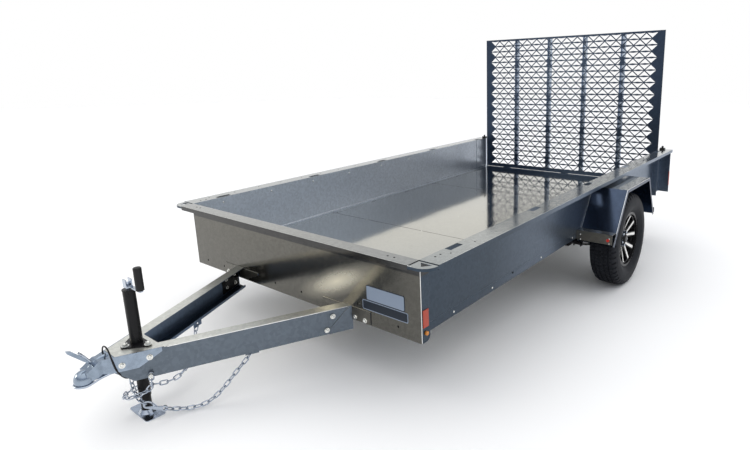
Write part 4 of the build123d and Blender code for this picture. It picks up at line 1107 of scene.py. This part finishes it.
# ---- coupler and latch ----
BALL_Y = -0.985
SOCKET_RIM_Z = 0.380
SOCKET_RIM_RADIUS = 0.0405
SOCKET_RIM_STEPS = 12
COUPLER_SIDE = [(0.0390, -0.880, 0.394), (0.0390, -0.930, 0.391), (0.0400, -0.960, 0.385)]
COUPLER_RIDGE = ((0.0, -0.962, 0.434), (0.0, -0.945, 0.448), (0.0, -0.915, 0.460),
                 (0.0, -0.885, 0.464))
LATCH_PIN = ((-0.022, -0.938, 0.452), (0.022, -0.938, 0.452))
LATCH_CROSS_PIN = ((-0.0145, -0.9760, 0.5020), (0.0145, -0.9760, 0.5020))
LATCH_FORK = ((0.0115, -0.9440, 0.4500), (0.0125, -0.9600, 0.4760), (0.0125, -0.9760, 0.5020),
              (0.0110, -0.9900, 0.5180))

rim_angles = [math.radians(180 + 180 * k / SOCKET_RIM_STEPS) for k in range(SOCKET_RIM_STEPS + 1)]
rim_line = ([(-x, y, z) for x, y, z in COUPLER_SIDE]
            + [(SOCKET_RIM_RADIUS * math.cos(a), BALL_Y + SOCKET_RIM_RADIUS * math.sin(a),
                SOCKET_RIM_Z) for a in rim_angles]
            + COUPLER_SIDE[::-1])
# (name, points, radius, sides, steps from point to point, finish) of each round bar
COUPLER_BARS = (
    ("coupler_rim", rim_line, 0.0042, 10, 2, zinc),
    ("coupler_ridge", COUPLER_RIDGE, 0.0090, 12, 4, zinc_body),
    ("latch_pin", LATCH_PIN, 0.0048, 8, 1, zinc),
    ("latch_fork_right", [(-x, y, z) for x, y, z in LATCH_FORK], 0.0044, 10, 4, zinc),
    ("latch_fork_left", LATCH_FORK, 0.0044, 10, 4, zinc),
    ("latch_cross_pin", LATCH_CROSS_PIN, 0.0040, 8, 1, zinc),
)
for name, points, radius, sides, runs, finish in COUPLER_BARS:
    piece(name, swept(points, radius, sides, runs), finish, smooth=True)

# ---- gate tie plates, fender heads ----
TIE_HEIGHTS = (0.603, 0.940, 1.260, 1.623)
TIE_AHEAD = 0.0026
TIE_SHEET = 0.0024
TIE_OUTLINE = ((-0.034, 0.030), (0.034, 0.030), (0.013, 0.0), (0.034, -0.030),
               (-0.034, -0.030), (-0.013, 0.0))
ties = bmesh.new()
for x in GATE_RIBS:
    for z in TIE_HEIGHTS:
        front = [ties.verts.new((x + a, GATE_FACE - TIE_AHEAD, z + b)) for a, b in TIE_OUTLINE]
        halves = [ties.faces.new(front[:3] + front[5:]), ties.faces.new(front[2:])]
        bmesh.ops.solidify(ties, geom=halves, thickness=TIE_SHEET)
piece("gate_tie_plates", ties, steel["gate"], "gate")

BRACE_FACE = 1.8098
BRACE_RIVETS = [(x, z) for z in (0.463, 0.428) for x in (0.985, 1.185)]
FENDER_RIVET_Y = 2.098
FENDER_RIVET_LIFT = 0.0032
FENDER_RIVETS = (0.56, 0.62, 0.68, 0.735)
heads = bmesh.new()
for side in (-1, 1):
    for x, z in BRACE_RIVETS:
        round_head(heads, (side * x, BRACE_FACE, z), FORWARD, *BRACE_RIVET)
    for z in FENDER_RIVETS:
        place = (side * (WALL_FACE + FENDER_RIVET_LIFT), FENDER_RIVET_Y, z)
        round_head(heads, place, (side, 0, 0), *FENDER_RIVET)
piece("fender_heads", heads, bolt_zinc)

# ---- floor ----
FLOOR_HALF = 40
floor_stuff, _, floor_shader, _ = new_material("pale floor", 0.0, 0.9)
floor_shader.inputs["Base Color"].default_value = (0.99, 0.99, 0.99, 1)
grid = bmesh.new()
bmesh.ops.create_grid(grid, x_segments=1, y_segments=1, size=FLOOR_HALF)
floor_mesh = bpy.data.meshes.new("floor")
grid.to_mesh(floor_mesh)
grid.free()
floor_mesh.materials.append(floor_stuff)
new_object("floor", floor_mesh)

# ---- sky and lamps ----
# White near the horizon all round; above it the sky is darker on the camera's side.
VIEW_HEADING = (-0.626, 0.780)  # the way the camera looks, on the plan
FAR_SKY = ((0.20, (1.0, 1.0, 1.0)), (0.32, (1.0, 0.98, 0.93)), (0.46, (0.72, 0.75, 0.80)),
           (0.58, (0.74, 0.77, 0.82)), (0.75, (1.25, 1.25, 1.26)))
NEAR_SKY = ((0.20, (1.0, 1.0, 1.0)), (0.27, (0.30, 0.33, 0.39)), (0.42, (0.45, 0.51, 0.60)),
            (0.62, (1.05, 1.06, 1.10)), (0.85, (1.30, 1.30, 1.30)))

world = bpy.data.worlds.new("studio")
world.use_nodes = True
scene = bpy.context.scene
scene.world = world
tree = world.node_tree
east, north, height = axes(tree, tree.nodes.new("ShaderNodeTexCoord").outputs["Generated"])
ahead = maths(tree, "ADD", maths(tree, "MULTIPLY", east, VIEW_HEADING[0]),
              maths(tree, "MULTIPLY", north, VIEW_HEADING[1]))
sky = mix(tree, span(tree, ahead, 0.20, 0.62), ramp(tree, height, NEAR_SKY),
          ramp(tree, height, FAR_SKY))
backdrop = tree.nodes["Background"]
tree.links.new(sky, backdrop.inputs["Color"])
backdrop.inputs["Strength"].default_value = 1.0

# (name, place, what it aims at, size, power, colour)
LAMPS = (
    ("overhead softbox", (-0.5, 0.0, 6.0), (0, 0.4, 0), (6.0, 8.0), 60, (1, 1, 1)),
    ("warm key", (-2.9, -4.4, 1.5), (0.3, -1.3, 0.5), (1.2, 0.9), 24, (1, 0.90, 0.72)),
)
for name, place, aim, size, power, colour in LAMPS:
    light = bpy.data.lights.new(name, "AREA")
    light.shape = "RECTANGLE"
    light.size, light.size_y = size
    light.energy = power
    light.color = colour
    lamp = new_object(name, light)
    lamp.location = place
    lamp.rotation_euler = (Vector(aim) - Vector(place)).to_track_quat("-Z", "Y").to_euler()

# ---- camera and finish ----
CAMERA_PLACE = (2.4041, -3.0915, 1.4719)
CAMERA_TURN = (78.9555, 0.3043, 38.7233)  # degrees
camera_data = bpy.data.cameras.new("camera")
camera_data.sensor_width = 36.0
camera_data.lens = 26.18
camera_data.shift_x = -0.0601
camera_data.shift_y = -0.0464
camera = new_object("camera", camera_data)
camera.location = CAMERA_PLACE
camera.rotation_euler = [math.radians(angle) for angle in CAMERA_TURN]
scene.camera = camera
scene.view_settings.view_transform = "Standard"
